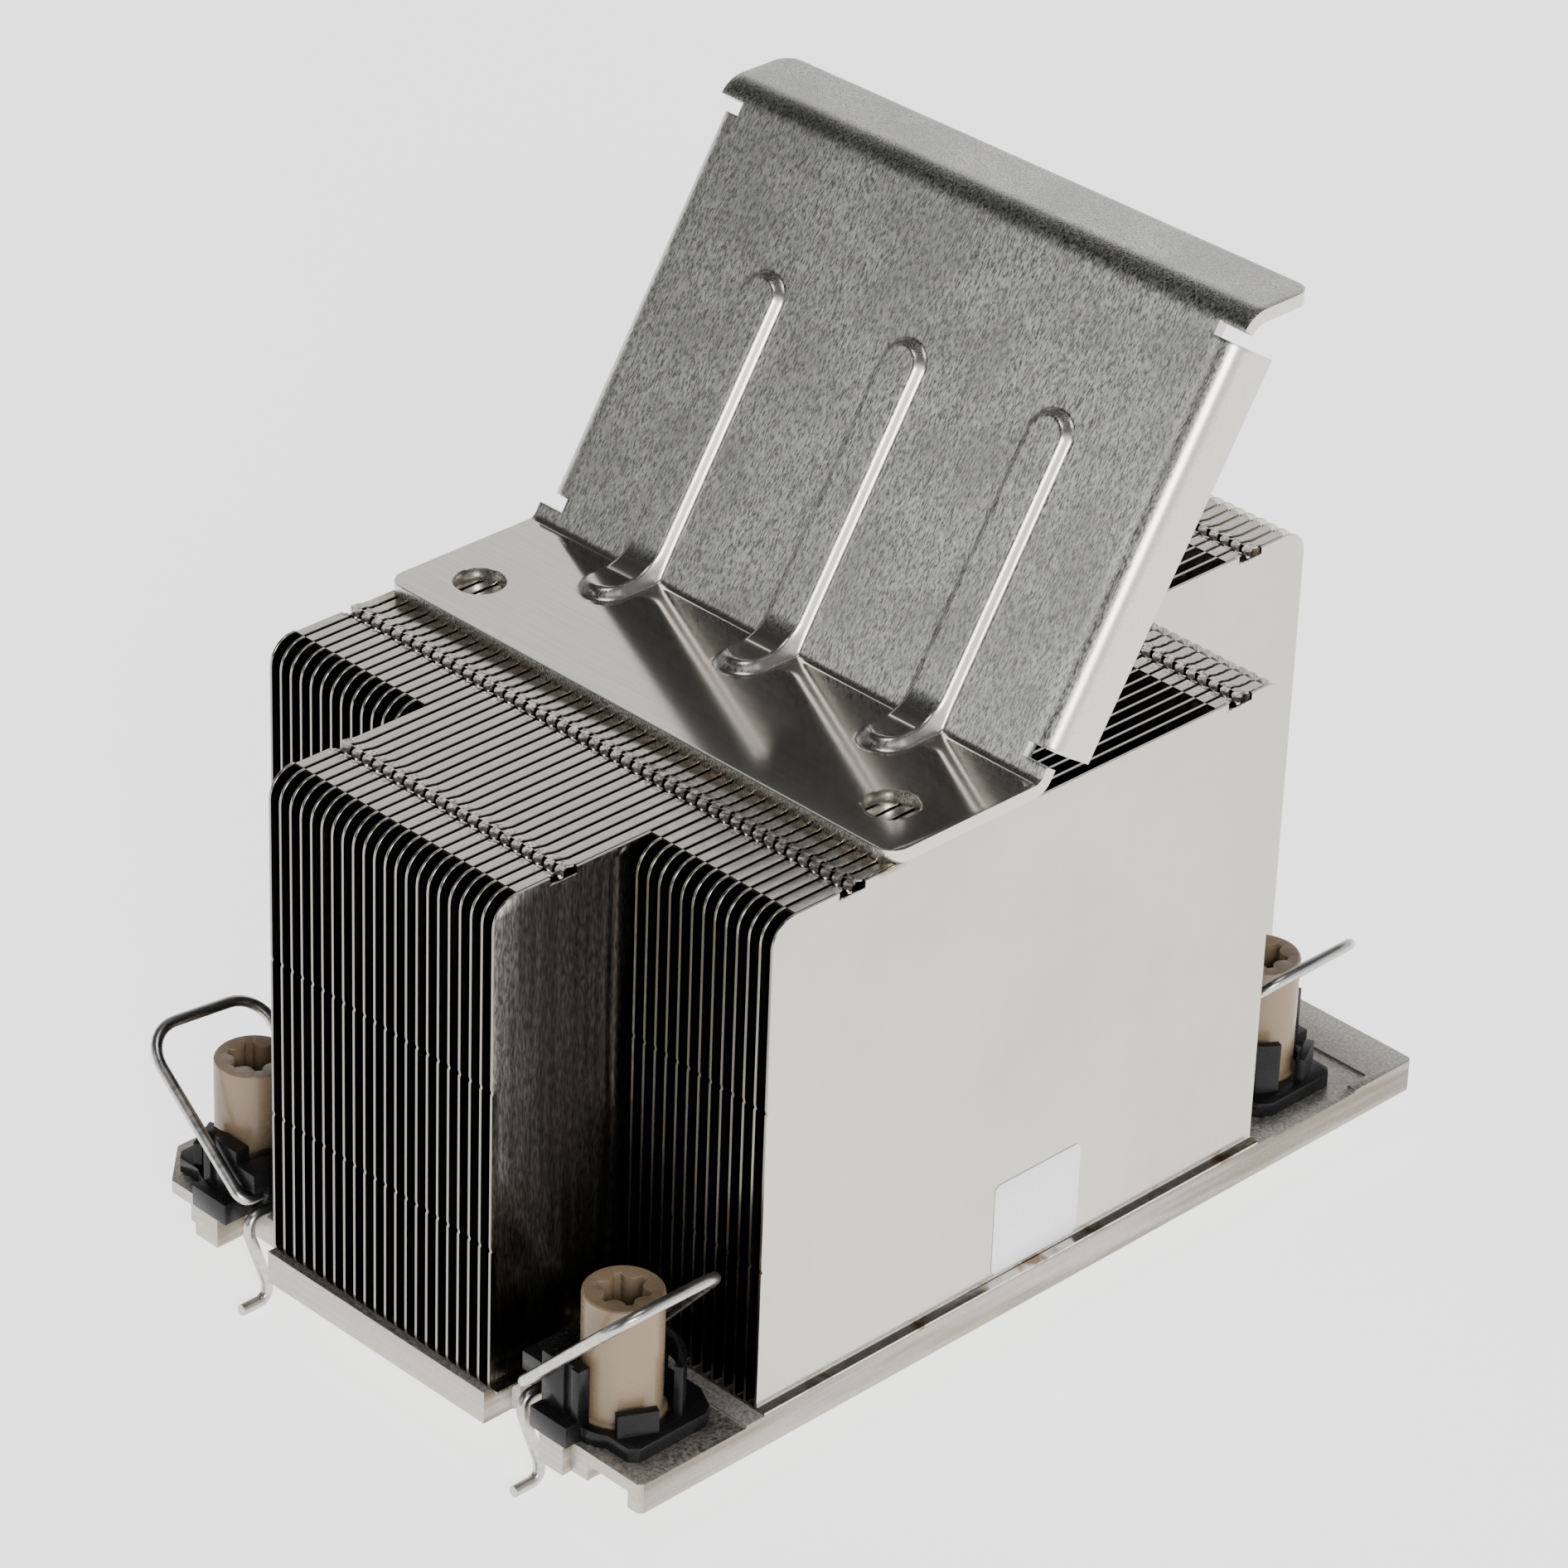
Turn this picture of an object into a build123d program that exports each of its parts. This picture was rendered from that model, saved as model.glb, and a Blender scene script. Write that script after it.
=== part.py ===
"""Passive server CPU heatsink: soldered fin stack on a base plate, with captive nuts and wire bails.

The origin is the centre of the plate's underside, where it meets the processor. X runs across the
fins, Y along them with the front end towards -Y, and Z up through the fin stack.
"""
from build123d import *
import math
import os

# Base plate: a standard 78 x 118 footprint, one keyed corner, a stepped front end.
plate_width = 78.0
plate_length = 118.0
plate_thickness = 3.9
plate_corner_chamfer = 0.5
key_chamfer = 4.65
end_step = 1.3
ear_width = 3.6
notch_depth = 3.2
notch_corner_chamfer = 0.6
edge_leg_width = 1.9
edge_groove_width = 5.9
edge_groove_depth = 2.0
pocket_depth = 0.3
pocket_margin = 0.3
rear_rim_width = 1.3
rear_rim_start = 5.7
stud_hole_diameter = 5.6

# Fixing pattern: four captive nuts on threaded studs, 57.4 x 95.9 apart.
nut_side_inset = 10.3
nut_front_inset = 6.9
nut_rear_inset = 15.2

# Fin stack: sheet fins with folded flanges, soldered to the plate.
stack_side_inset = 0.6
fin_thickness = 0.3
fin_count_centre = 22
fin_count_side = 13
fin_height = 58.1
fin_corner_radius = 3.0
fin_corner_steps = 3
fin_flange_setback = 0.3
fin_slit = 0.1
centre_fin_overhang = 0.5
centre_rear_flange_length = 12.5
side_fin_front_inset = 17.3
side_fin_rear_inset = 25.8
side_rear_flange_length = 10.7
flange_bend_gap = 1.6
fins_per_centre_node = 2

# Interlocks: a tongue of each flange rests in a notch of the next fin. Rows are set in from fin ends.
centre_front_row_inset = 9.15
centre_rear_row_inset = 9.05
side_front_row_inset = 10.75
side_rear_row_inset = 7.35
interlock_window = 1.4
interlock_tongue = 1.0
interlock_reach = 0.45
interlock_clearance = 0.15

# Top bracket: one folded sheet, soldered to the fin tops.
bracket_side_inset = 1.2
bracket_thickness = 1.5
bracket_front_inset = 16.0
bracket_base_depth = 21.3
bracket_lean = 32.2
bracket_rise = 43.7
bracket_top_flange = 9.1
bracket_bend_radius = 1.6
bracket_front_corner_radius = 2.5
bracket_top_corner_radius = 2.0
bracket_hole_diameter = 5.8
bracket_hole_side_inset = 7.0
bracket_hole_setback = 7.2
wing_depth = 6.3
wing_start = 3.2
wing_end = 48.5
wing_fold_radius = 2.2
relief_width = 1.0
relief_depth = 2.6
rib_spacing = 21.0
rib_width = 5.0
rib_height = 1.1
rib_base_reach = 4.8
rib_panel_reach = 35.0
rib_end_slope = 1.1
rib_bend_radius = 3.5
rib_edge_chamfer = 0.5

# Label: a thin blank sticker on the outermost fin.
label_width = 12.9
label_height = 11.3
label_thickness = 0.12
label_corner_chamfer = 0.5
label_centre_y = -1.0
label_bottom_gap = 0.75

# Captive nuts.
nut_body_diameter = 8.6
nut_rim_diameter = 9.6
nut_rim_height = 1.3
nut_height = 15.5
socket_bulge_radius = 1.12
socket_bulge_offset = 3.1
socket_bulge_angle = 64.0
socket_lobes = 6
socket_bulge_steps = 4
socket_depth = 6.0
nut_bore_diameter = 4.0
nut_bore_depth = 8.0
nut_play = 0.1

# Moulded retainers, measured outwards from the nut axis: u away from the centre, v to the near end.
retainer_base_thickness = 1.7
retainer_outer_u = 7.3
retainer_end_v = 5.1
retainer_far_v = 7.6
retainer_rail_width = 1.1
retainer_corner_chamfer = 0.9
retainer_far_taper_u = 3.6
retainer_far_taper_v = 1.8
retainer_foot_step = 1.6
retainer_nut_clearance = 0.25
retainer_inner_gap = 0.5
retainer_beam_width = 3.2
retainer_beam_height = 7.0
retainer_beam_end_gap = 0.3
retainer_front_v = 6.6
retainer_toe_v = 8.2
retainer_toe_height = 2.5
retainer_toe_start_u = -4.8
retainer_toe_end_u = 0.6
retainer_box_height = 8.6
retainer_slot_width = 1.1
retainer_slot_depth = 0.5
retainer_slot_length = 6.0
retainer_tab_angle = 27.0
retainer_tab_width = 4.4
retainer_tab_height = 2.7
retainer_tab_thickness = 1.0
retainer_tab_gap = 0.15
retainer_wall_inner_radius = 5.7
retainer_wall_thickness = 0.9
retainer_wall_height = 6.0
retainer_wall_start = 24.0
retainer_wall_end = 150.0
retainer_window_width = 4.6
retainer_window_height = 3.6
retainer_window_turn = 20.0
wire_room = 0.45

# Wire bails.
wire_diameter = 1.3
wire_sides = 8
wire_running_fit = 0.05
pivot_offset_u = 7.2
pivot_height = 1.6
bail_length = 22.8
bail_far_shortening = 1.3
bail_width = 15.1
bail_near_gap = 0.25
bail_outer_radius = 4.0
bail_inner_radius = 1.3
bail_stub_offset = 0.2
bail_stub_height = 2.1
bail_stub_length = 2.4
bail_nominal_angle = 46.0
bail_swing_down = 30.0
bail_swing_up = 24.0
bail_rest_turns = {"front_left": -3.0, "front_right": 3.0, "rear_left": 0.0, "rear_right": 2.0}
hook_knee_v = 7.0
hook_waist_v = 5.0
hook_foot_v = 8.6
hook_knee_drop = 2.2
hook_waist_drop = 8.6
hook_foot_drop = 10.8
hook_radius = 1.6
leg_gap = 0.75

# Places that follow from the sizes above.
overrun = 1.0
front_y = -plate_length / 2
rear_y = plate_length / 2
match_tolerance = 0.05
half_width = plate_width / 2
pocket_floor = plate_thickness - pocket_depth
fin_top = plate_thickness + fin_height
nut_x = half_width - nut_side_inset
nut_front_y = front_y + nut_front_inset
nut_rear_y = rear_y - nut_rear_inset
nut_bottom = pocket_floor + nut_play
pivot_x = nut_x - pivot_offset_u
pivot_z = pocket_floor + pivot_height
base_top = pocket_floor + retainer_base_thickness
wire_radius = wire_diameter / 2
lowering = math.radians(bail_swing_down)
raising = math.radians(bail_swing_up)
notch_inner_x = pivot_x - pivot_z * math.tan(lowering) - wire_radius / math.cos(lowering) - leg_gap
ear_inner_x = pivot_x + pivot_z * math.tan(raising) + wire_radius / math.cos(raising) + leg_gap
arm_near_v = retainer_front_v + bail_near_gap + wire_radius
arm_far_v = arm_near_v - bail_width
beam_end_v = arm_far_v + bail_inner_radius + retainer_beam_end_gap
beam_inner_u = -pivot_offset_u - retainer_inner_gap
beam_outer_u = beam_inner_u + retainer_beam_width
fin_count = fin_count_centre + 2 * fin_count_side
fin_pitch = (plate_width - 2 * stack_side_inset) / fin_count
first_fin_x = -fin_pitch * (fin_count - 1) / 2
last_fin_x = -first_fin_x
flange_width = fin_pitch - fin_slit - fin_thickness / 2
centre_fin_ends = (front_y - centre_fin_overhang, rear_y + centre_fin_overhang)
side_fin_ends = (front_y + side_fin_front_inset, rear_y - side_fin_rear_inset)
centre_rows = (centre_fin_ends[0] + centre_front_row_inset, centre_fin_ends[1] - centre_rear_row_inset)
side_rows = (side_fin_ends[0] + side_front_row_inset, side_fin_ends[1] - side_rear_row_inset)
bracket_half_width = half_width - bracket_side_inset
bracket_front = side_fin_ends[0] + bracket_front_inset
bracket_bend_y = bracket_front + bracket_base_depth


def block(x_range, y_range, z_range):
    """Box between two limits on each axis."""
    sizes = [high - low for low, high in (x_range, y_range, z_range)]
    corner = Pos(x_range[0], y_range[0], z_range[0])
    return corner * Box(*sizes, align=(Align.MIN, Align.MIN, Align.MIN))


def on_side(shape, side, end):
    """Move a piece modelled about the nut axis to one corner: side -1 or 1 in X, end -1 or 1 in Y."""
    if side < 0:
        shape = mirror(shape, Plane.YZ)
    if end > 0:
        shape = mirror(shape, Plane.XZ)
    nut_y = nut_front_y if end < 0 else nut_rear_y
    return Pos(side * nut_x, nut_y, 0) * shape


def local_block(u_range, v_range, z_range):
    """Box in the front right corner's frame, where v runs towards -Y."""
    return block(u_range, (-v_range[1], -v_range[0]), z_range)


def plate_outline():
    """Top view of the plate: keyed corner, front lobe and ears, hook notches between them."""
    outline = Rectangle(plate_width, plate_length)
    keyed = outline.vertices().group_by(Axis.X)[0].sort_by(Axis.Y)[0]
    outline = chamfer(keyed, key_chamfer)
    others = [outline.vertices().group_by(Axis.X)[0].sort_by(Axis.Y)[-1], *outline.vertices().group_by(Axis.X)[-1]]
    outline = chamfer(others, plate_corner_chamfer)
    step_y = front_y - end_step / 2
    outline += Pos(0, step_y) * Rectangle(2 * notch_inner_x, end_step)
    notch_width = ear_inner_x - notch_inner_x
    for side in (-1, 1):
        ear_x = side * (ear_inner_x + ear_width / 2)
        notch_x = side * (notch_inner_x + notch_width / 2)
        outline += Pos(ear_x, step_y) * Rectangle(ear_width, end_step)
        notch = Pos(0, notch_depth / 2) * Rectangle(notch_width, notch_depth)
        notch = chamfer(notch.vertices().group_by(Axis.Y)[-1], notch_corner_chamfer)
        outline -= Pos(notch_x, front_y) * notch
        outline -= Pos(notch_x, step_y) * Rectangle(notch_width, end_step)
    return outline


def retainer_pocket(side, end):
    """Shallow blasted seat for one retainer, open to the plate's edges at the front."""
    inner = pivot_x - retainer_inner_gap - pocket_margin
    far = retainer_far_v + pocket_margin
    z_range = (pocket_floor, plate_thickness + overrun)
    if end < 0:
        seat = block((inner, half_width + overrun), (front_y - end_step - overrun, nut_front_y + far), z_range)
    else:
        wall_v = retainer_toe_v + 2 * pocket_margin
        seat = block((inner, half_width - rear_rim_width), (nut_rear_y - far, nut_rear_y + wall_v), z_range)
        side_limit = nut_rear_y + rear_rim_start
        seat += block((inner, half_width + overrun), (nut_rear_y - far, side_limit), z_range)
    return mirror(seat, Plane.YZ) if side < 0 else seat


def base_plate():
    """Machined plate with grooved long edges, retainer seats, stud holes and rear hook slots."""
    plate = extrude(plate_outline(), plate_thickness)
    groove_outer = half_width - edge_leg_width
    groove = block((groove_outer - edge_groove_width, groove_outer),
                   (front_y - end_step - overrun, rear_y + overrun), (-overrun, edge_groove_depth))
    plate -= groove + mirror(groove, Plane.YZ)
    slot = block((notch_inner_x, ear_inner_x),
                 (nut_rear_y + notch_slot_start(), nut_rear_y + retainer_toe_v + 2 * pocket_margin),
                 (-overrun, plate_thickness + overrun))
    plate -= slot + mirror(slot, Plane.YZ)
    stud = Pos(0, 0, plate_thickness / 2) * Cylinder(stud_hole_diameter / 2, plate_thickness + 2 * overrun)
    for side in (-1, 1):
        for end in (-1, 1):
            plate -= retainer_pocket(side, end)
            plate -= on_side(stud, side, end)
    return plate


def notch_slot_start():
    """Distance from the nut axis to the inner wall of a hook opening, the same at both ends."""
    return nut_front_y - (front_y + notch_depth)


def flange(y_range, z_bottom):
    """One folded strip of a fin, reaching across the gap to the next fin."""
    return block((0, flange_width), y_range, (z_bottom, z_bottom + fin_thickness))


def interlock_notch(row):
    """Notch across the fin's fold, where the neighbour's tongue rests, with a window beside it."""
    root = fin_thickness / 2
    notch_end = interlock_tongue / 2 + interlock_clearance
    return block((-fin_thickness, root + interlock_reach - fin_slit + interlock_clearance),
                 (row - notch_end - interlock_window, row + notch_end), (fin_top - fin_thickness, fin_top + overrun))


def interlock_tongue_strip(row):
    """Tongue that crosses the slit into the next fin's notch."""
    reach = flange_width + fin_slit + interlock_reach
    return block((flange_width - fin_thickness, reach), (row - interlock_tongue / 2, row + interlock_tongue / 2),
                 (fin_top - fin_thickness, fin_top))


def corner_points(centre, start):
    """Quarter of a fin's rounded corner in straight steps, from an angle in degrees."""
    angles = [math.radians(start + 90 * step / fin_corner_steps) for step in range(fin_corner_steps + 1)]
    return [(centre + fin_corner_radius * math.cos(angle),
             fin_top - fin_corner_radius + fin_corner_radius * math.sin(angle)) for angle in angles]


def fin(ends, flange_zones, notch_rows, tongue_rows):
    """One sheet fin about x = 0, with its foot flange, top flanges and interlocks."""
    front, rear = ends
    outline = [(front, plate_thickness), (rear, plate_thickness),
               *corner_points(rear - fin_corner_radius, 0), *corner_points(front + fin_corner_radius, 90)]
    web = make_face(Polyline(*outline, close=True))
    sheet = extrude(Plane.YZ * web, fin_thickness / 2, both=True)
    sheet += flange(ends, plate_thickness)
    for zone in flange_zones:
        sheet += flange(zone, fin_top - fin_thickness)
    for row in notch_rows:
        sheet -= interlock_notch(row)
    for row in tongue_rows:
        sheet += interlock_tongue_strip(row)
    return sheet


def fin_kinds():
    """The four sheets of the stack: side, centre, the centre block's last one, and the outermost one."""
    setback = fin_corner_radius + fin_flange_setback
    front_end = bracket_bend_y - flange_bend_gap
    side_rear_zone = (side_fin_ends[1] - side_rear_flange_length, side_fin_ends[1] - setback)
    side_zones = [(side_fin_ends[0] + setback, front_end), side_rear_zone]
    centre_zones = [(centre_fin_ends[0] + setback, front_end), side_rear_zone,
                    (centre_fin_ends[1] - centre_rear_flange_length, centre_fin_ends[1] - setback)]
    all_rows = [*centre_rows, *side_rows]
    return {"side": fin(side_fin_ends, side_zones, side_rows, side_rows),
            "centre": fin(centre_fin_ends, centre_zones, all_rows, all_rows),
            "centre_last": fin(centre_fin_ends, side_zones, all_rows, side_rows),
            "outermost": fin(side_fin_ends, [], side_rows, [])}


def fin_stack():
    """All fins by node name: side fins one by one, centre fins in neighbouring groups."""
    kinds = fin_kinds()
    centre_first = fin_count_side
    centre_last = fin_count_side + fin_count_centre - 1
    placed = []
    for number in range(fin_count):
        kind = "centre" if centre_first <= number <= centre_last else "side"
        if number == centre_last:
            kind = "centre_last"
        if number == fin_count - 1:
            kind = "outermost"
        placed.append(Pos(first_fin_x + number * fin_pitch, 0, 0) * kinds[kind])
    nodes = {}
    for index in range(fin_count_side):
        nodes[f"fin_left_{index + 1:02d}"] = placed[index]
        nodes[f"fin_right_{index + 1:02d}"] = placed[centre_last + 1 + index]
    for group in range(math.ceil(fin_count_centre / fins_per_centre_node)):
        first = centre_first + group * fins_per_centre_node
        members = placed[first:min(first + fins_per_centre_node, centre_last + 1)]
        nodes[f"fins_centre_{group + 1:02d}"] = Compound(members)
    return nodes


def panel_point(along, behind):
    """Point in the YZ plane, measured along the leaning panel and behind its front face."""
    lean = math.radians(bracket_lean)
    y = bracket_bend_y + along * math.sin(lean) + behind * math.cos(lean)
    z = fin_top + bracket_thickness + along * math.cos(lean) - behind * math.sin(lean)
    return (y, z)


def bracket_sheet():
    """Base, leaning panel and top flange, folded from one strip."""
    mid = bracket_thickness / 2
    lean = math.radians(bracket_lean)
    panel_length = bracket_rise / math.cos(lean)
    base_corner_along = -mid * math.tan(math.radians((90 - bracket_lean) / 2))
    top_corner_along = panel_length - mid * math.tan(math.radians((90 - bracket_lean) / 2))
    base_z = fin_top + mid
    top_y, top_z = panel_point(top_corner_along, mid)
    corner_y, corner_z = panel_point(base_corner_along, mid)
    top_end_y = panel_point(panel_length, 0)[0] + bracket_top_flange
    path = FilletPolyline((bracket_front, base_z), (corner_y, base_z), (top_y, top_z), (top_end_y, top_z),
                          radius=bracket_bend_radius + mid)
    strip = trace(path, bracket_thickness)
    return extrude(Plane.YZ * strip, bracket_half_width, both=True)


def bracket_wing():
    """Side flange folded back from the panel's edge, in the plane of x = 0."""
    corners = [panel_point(wing_start, 0), panel_point(wing_end, 0),
               panel_point(wing_end, wing_depth), panel_point(wing_start, wing_depth)]
    wing = make_face(Polyline(*corners, close=True))
    return extrude(Plane.YZ * wing, bracket_thickness)


def bracket_relief(along):
    """Slot beside the end of a side flange, cut into the panel's edge."""
    corners = [panel_point(along, -overrun), panel_point(along + relief_width, -overrun),
               panel_point(along + relief_width, wing_depth), panel_point(along, wing_depth)]
    relief = make_face(Polyline(*corners, close=True))
    return extrude(Plane.YZ * relief, relief_depth + overrun)


def bracket_rib():
    """Embossed rib that stiffens the lower bend, about x = 0."""
    mid = bracket_thickness / 2
    base_z = fin_top + mid
    start_y = bracket_bend_y - rib_base_reach
    top_z = fin_top + bracket_thickness + rib_height
    lean = math.radians(bracket_lean)
    corner_along = rib_height * math.tan(math.radians((90 - bracket_lean) / 2))
    outer = FilletPolyline((start_y, base_z), (start_y + rib_end_slope, top_z),
                           panel_point(corner_along, -rib_height),
                           panel_point(rib_panel_reach - rib_end_slope, -rib_height),
                           panel_point(rib_panel_reach, mid),
                           radius=[rib_height, rib_bend_radius, rib_height])
    inner = Polyline(outer @ 1, panel_point(0, mid), outer @ 0)
    rib = extrude(Plane.YZ * make_face(outer + inner), rib_width / 2, both=True)
    side_faces = [face for face in rib.faces() if abs(face.center().X) > rib_width / 2 - match_tolerance]
    raised = ShapeList()
    for face in side_faces:
        for edge in face.edges():
            middle = edge.center()
            above_base = middle.Z - fin_top - bracket_thickness
            if above_base > 0 and behind_panel(middle.Y, middle.Z) < 0:
                raised.append(edge)
    return chamfer(raised, rib_edge_chamfer)


def behind_panel(y, z):
    """Distance of a point behind the panel's front face."""
    lean = math.radians(bracket_lean)
    dy = y - bracket_bend_y
    dz = z - fin_top - bracket_thickness
    return dy * math.cos(lean) - dz * math.sin(lean)


def bracket():
    """Folded bracket with side flanges, reliefs, ribs and two plain holes."""
    sheet = bracket_sheet()
    half = bracket_half_width
    wing = Pos(half - bracket_thickness, 0, 0) * bracket_wing()
    sheet += wing + mirror(wing, Plane.YZ)
    for along in (wing_start - relief_width, wing_end):
        relief = Pos(half - relief_depth, 0, 0) * bracket_relief(along)
        sheet -= relief + mirror(relief, Plane.YZ)
    folds = ShapeList()
    for edge in sheet.edges():
        middle = edge.center()
        on_side_face = abs(abs(middle.X) - half) < match_tolerance
        on_front = abs(behind_panel(middle.Y, middle.Z)) < match_tolerance
        if on_side_face and on_front and edge.length > wing_end / 2:
            folds.append(edge)
    sheet = fillet(folds, wing_fold_radius)
    for place in (-rib_spacing, 0, rib_spacing):
        sheet += Pos(place, 0, 0) * bracket_rib()
    front = sheet.edges().filter_by(Axis.Z).group_by(Axis.Y)[0]
    sheet = fillet(front, bracket_front_corner_radius)
    rear = sheet.edges().filter_by(Axis.Z).filter_by(lambda edge: edge.center().Z > fin_top + bracket_rise)
    sheet = fillet(rear, bracket_top_corner_radius)
    hole = Pos(half - bracket_hole_side_inset, bracket_front + bracket_hole_setback, fin_top)
    hole *= Cylinder(bracket_hole_diameter / 2, 2 * (bracket_thickness + overrun))
    return sheet - hole - mirror(hole, Plane.YZ)


def label():
    """Blank sticker on the outer face of the last fin."""
    outline = Rectangle(label_width, label_height)
    outline = chamfer(outline.vertices(), label_corner_chamfer)
    centre_z = plate_thickness + label_bottom_gap + label_height / 2
    face_x = last_fin_x + fin_thickness / 2
    plane = Plane(origin=(face_x, label_centre_y, centre_z), x_dir=(0, 1, 0), z_dir=(1, 0, 0))
    return extrude(plane * outline, label_thickness)


def socket_outline():
    """Six-lobe driver socket, each inward bulge in a few straight steps."""
    corners = []
    for lobe in range(socket_lobes):
        for step in range(socket_bulge_steps + 1):
            bulge = math.radians(socket_bulge_angle * (2 * step / socket_bulge_steps - 1))
            along = socket_bulge_offset - socket_bulge_radius * math.cos(bulge)
            across = socket_bulge_radius * math.sin(bulge)
            radius = math.hypot(along, across)
            corners.append(polar(radius, lobe * 360 / socket_lobes + math.degrees(math.atan2(across, along))))
    return make_face(Polyline(*corners, close=True))


def nut():
    """Captive nut about its own axis: rim, barrel, driver socket and stud bore."""
    rim = nut_rim_diameter / 2
    body = nut_body_diameter / 2
    rim_top = nut_bottom + nut_rim_height
    top = nut_bottom + nut_height
    profile = Polyline((0, nut_bottom), (rim, nut_bottom), (rim, rim_top), (body, rim_top),
                       (body, top), (0, top), close=True)
    barrel = revolve(Plane.XZ * make_face(profile), Axis.Z)
    socket = extrude(Pos(0, 0, top - socket_depth) * socket_outline(), socket_depth + overrun)
    bore_height = nut_bore_depth + overrun
    bore = Pos(0, 0, nut_bottom + nut_bore_depth - bore_height / 2) * Cylinder(nut_bore_diameter / 2, bore_height)
    return barrel - socket - bore


def retainer_base():
    """Flat foot of the retainer round the nut, with the toe that stands on the plate's ear."""
    inner = beam_outer_u
    points = [(inner, -retainer_end_v), (retainer_outer_u, -retainer_end_v),
              (retainer_outer_u, retainer_far_v - retainer_far_taper_v),
              (retainer_outer_u - retainer_far_taper_u, retainer_far_v),
              (inner + 2 * retainer_foot_step, retainer_far_v),
              (inner + retainer_foot_step, -beam_end_v), (inner, -beam_end_v)]
    outline = make_face(Polyline(*points, close=True))
    outline = chamfer(outline.vertices().group_by(Axis.X)[-1], retainer_corner_chamfer)
    rail = Circle(nut_rim_diameter / 2 + retainer_nut_clearance + retainer_rail_width)
    beside_beam = Pos(retainer_far_v + inner, 0) * Rectangle(2 * retainer_far_v, 2 * retainer_far_v)
    outline += rail & beside_beam
    foot = extrude(Pos(0, 0, pocket_floor) * outline, retainer_base_thickness)
    foot += local_block((retainer_toe_start_u, retainer_toe_end_u), (retainer_end_v - overrun, retainer_toe_v),
                        (pocket_floor, pocket_floor + retainer_toe_height))
    return foot


def retainer_beam():
    """Beam that houses the bail's pivot length, cut back over the hook leg."""
    top = pocket_floor + retainer_beam_height
    beam = local_block((beam_inner_u, beam_outer_u), (beam_end_v, retainer_front_v), (pocket_floor, top))
    reach = wire_radius + wire_room
    leg_room = local_block((beam_inner_u - overrun, beam_outer_u + overrun),
                           (hook_waist_v - reach, retainer_front_v + overrun),
                           (pocket_floor - overrun, pivot_z + reach))
    stub_room = local_block((beam_inner_u - overrun, bail_stub_height - pivot_offset_u + reach),
                            (arm_near_v - bail_stub_length - wire_room, retainer_front_v + overrun),
                            (pivot_z, pivot_z + bail_stub_height + reach))
    bore = Cylinder(wire_radius + wire_running_fit, 2 * (retainer_front_v - beam_end_v + overrun))
    bore = Pos(-pivot_offset_u, 0, pivot_z) * (Rot(90, 0, 0) * bore)
    return beam - leg_room - stub_room - bore


def retainer_box():
    """Upright box between the beam and the nut, with a moulded slot in its front face."""
    top = pocket_floor + retainer_box_height
    end_u = retainer_toe_end_u
    box = local_block((retainer_toe_start_u, end_u), (nut_rim_diameter / 2, retainer_front_v), (pocket_floor, top))
    slot_centre = (retainer_toe_start_u + end_u) / 2 + retainer_slot_width
    slot = local_block((slot_centre - retainer_slot_width / 2, slot_centre + retainer_slot_width / 2),
                       (retainer_front_v - retainer_slot_depth, retainer_toe_v + overrun),
                       (top - retainer_slot_length, top + overrun))
    return box - slot


def retainer_wall():
    """Curved wall round the far side of the nut, with a window above the foot."""
    ring = Circle(retainer_wall_inner_radius + retainer_wall_thickness) - Circle(retainer_wall_inner_radius)
    reach = 3 * retainer_wall_inner_radius
    sector = make_face(Polyline((0, 0), polar(reach, retainer_wall_start),
                                polar(reach, (retainer_wall_start + retainer_wall_end) / 2),
                                polar(reach, retainer_wall_end), close=True))
    wall = extrude(Pos(0, 0, pocket_floor) * (ring & sector), retainer_base_thickness + retainer_wall_height)
    window = block((-retainer_window_width / 2, retainer_window_width / 2), (0, reach),
                   (base_top, base_top + retainer_window_height))
    return wall - Rot(0, 0, -retainer_window_turn) * window


def polar(radius, degrees):
    """Point on a circle about the nut axis."""
    angle = math.radians(degrees)
    return (radius * math.cos(angle), radius * math.sin(angle))


def retainer_tab():
    """Upright tab beside the nut, towards the plate's corner."""
    face_radius = nut_rim_diameter / 2 + retainer_nut_clearance + retainer_tab_gap
    tab = block((face_radius, face_radius + retainer_tab_thickness),
                (-retainer_tab_width / 2, retainer_tab_width / 2),
                (pocket_floor, base_top + retainer_tab_height))
    return Rot(0, 0, -retainer_tab_angle) * tab


def retainer():
    """Moulded retainer for the front right corner, about its nut axis."""
    body = retainer_base() + retainer_beam() + retainer_box() + retainer_wall() + retainer_tab()
    nut_hole = Cylinder(nut_rim_diameter / 2 + retainer_nut_clearance, 2 * (retainer_box_height + overrun))
    return body - Pos(0, 0, pocket_floor) * nut_hole


def bent_path(points, radii):
    """Wire path through the points, each bend drawn as two straight steps of its radius."""
    steps = [points[0]]
    for index, radius in enumerate(radii):
        before, corner, after = [Vector(*point) for point in points[index:index + 3]]
        arriving = (corner - before).normalized()
        leaving = (after - corner).normalized()
        half_turn = math.radians(arriving.get_angle(leaving)) / 2
        start = corner - arriving * (radius * math.tan(half_turn))
        end = corner + leaving * (radius * math.tan(half_turn))
        middle = corner + ((start + end) / 2 - corner) / (1 + math.cos(half_turn))
        steps += [start, middle, end]
    return Polyline(*steps, points[-1])


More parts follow.
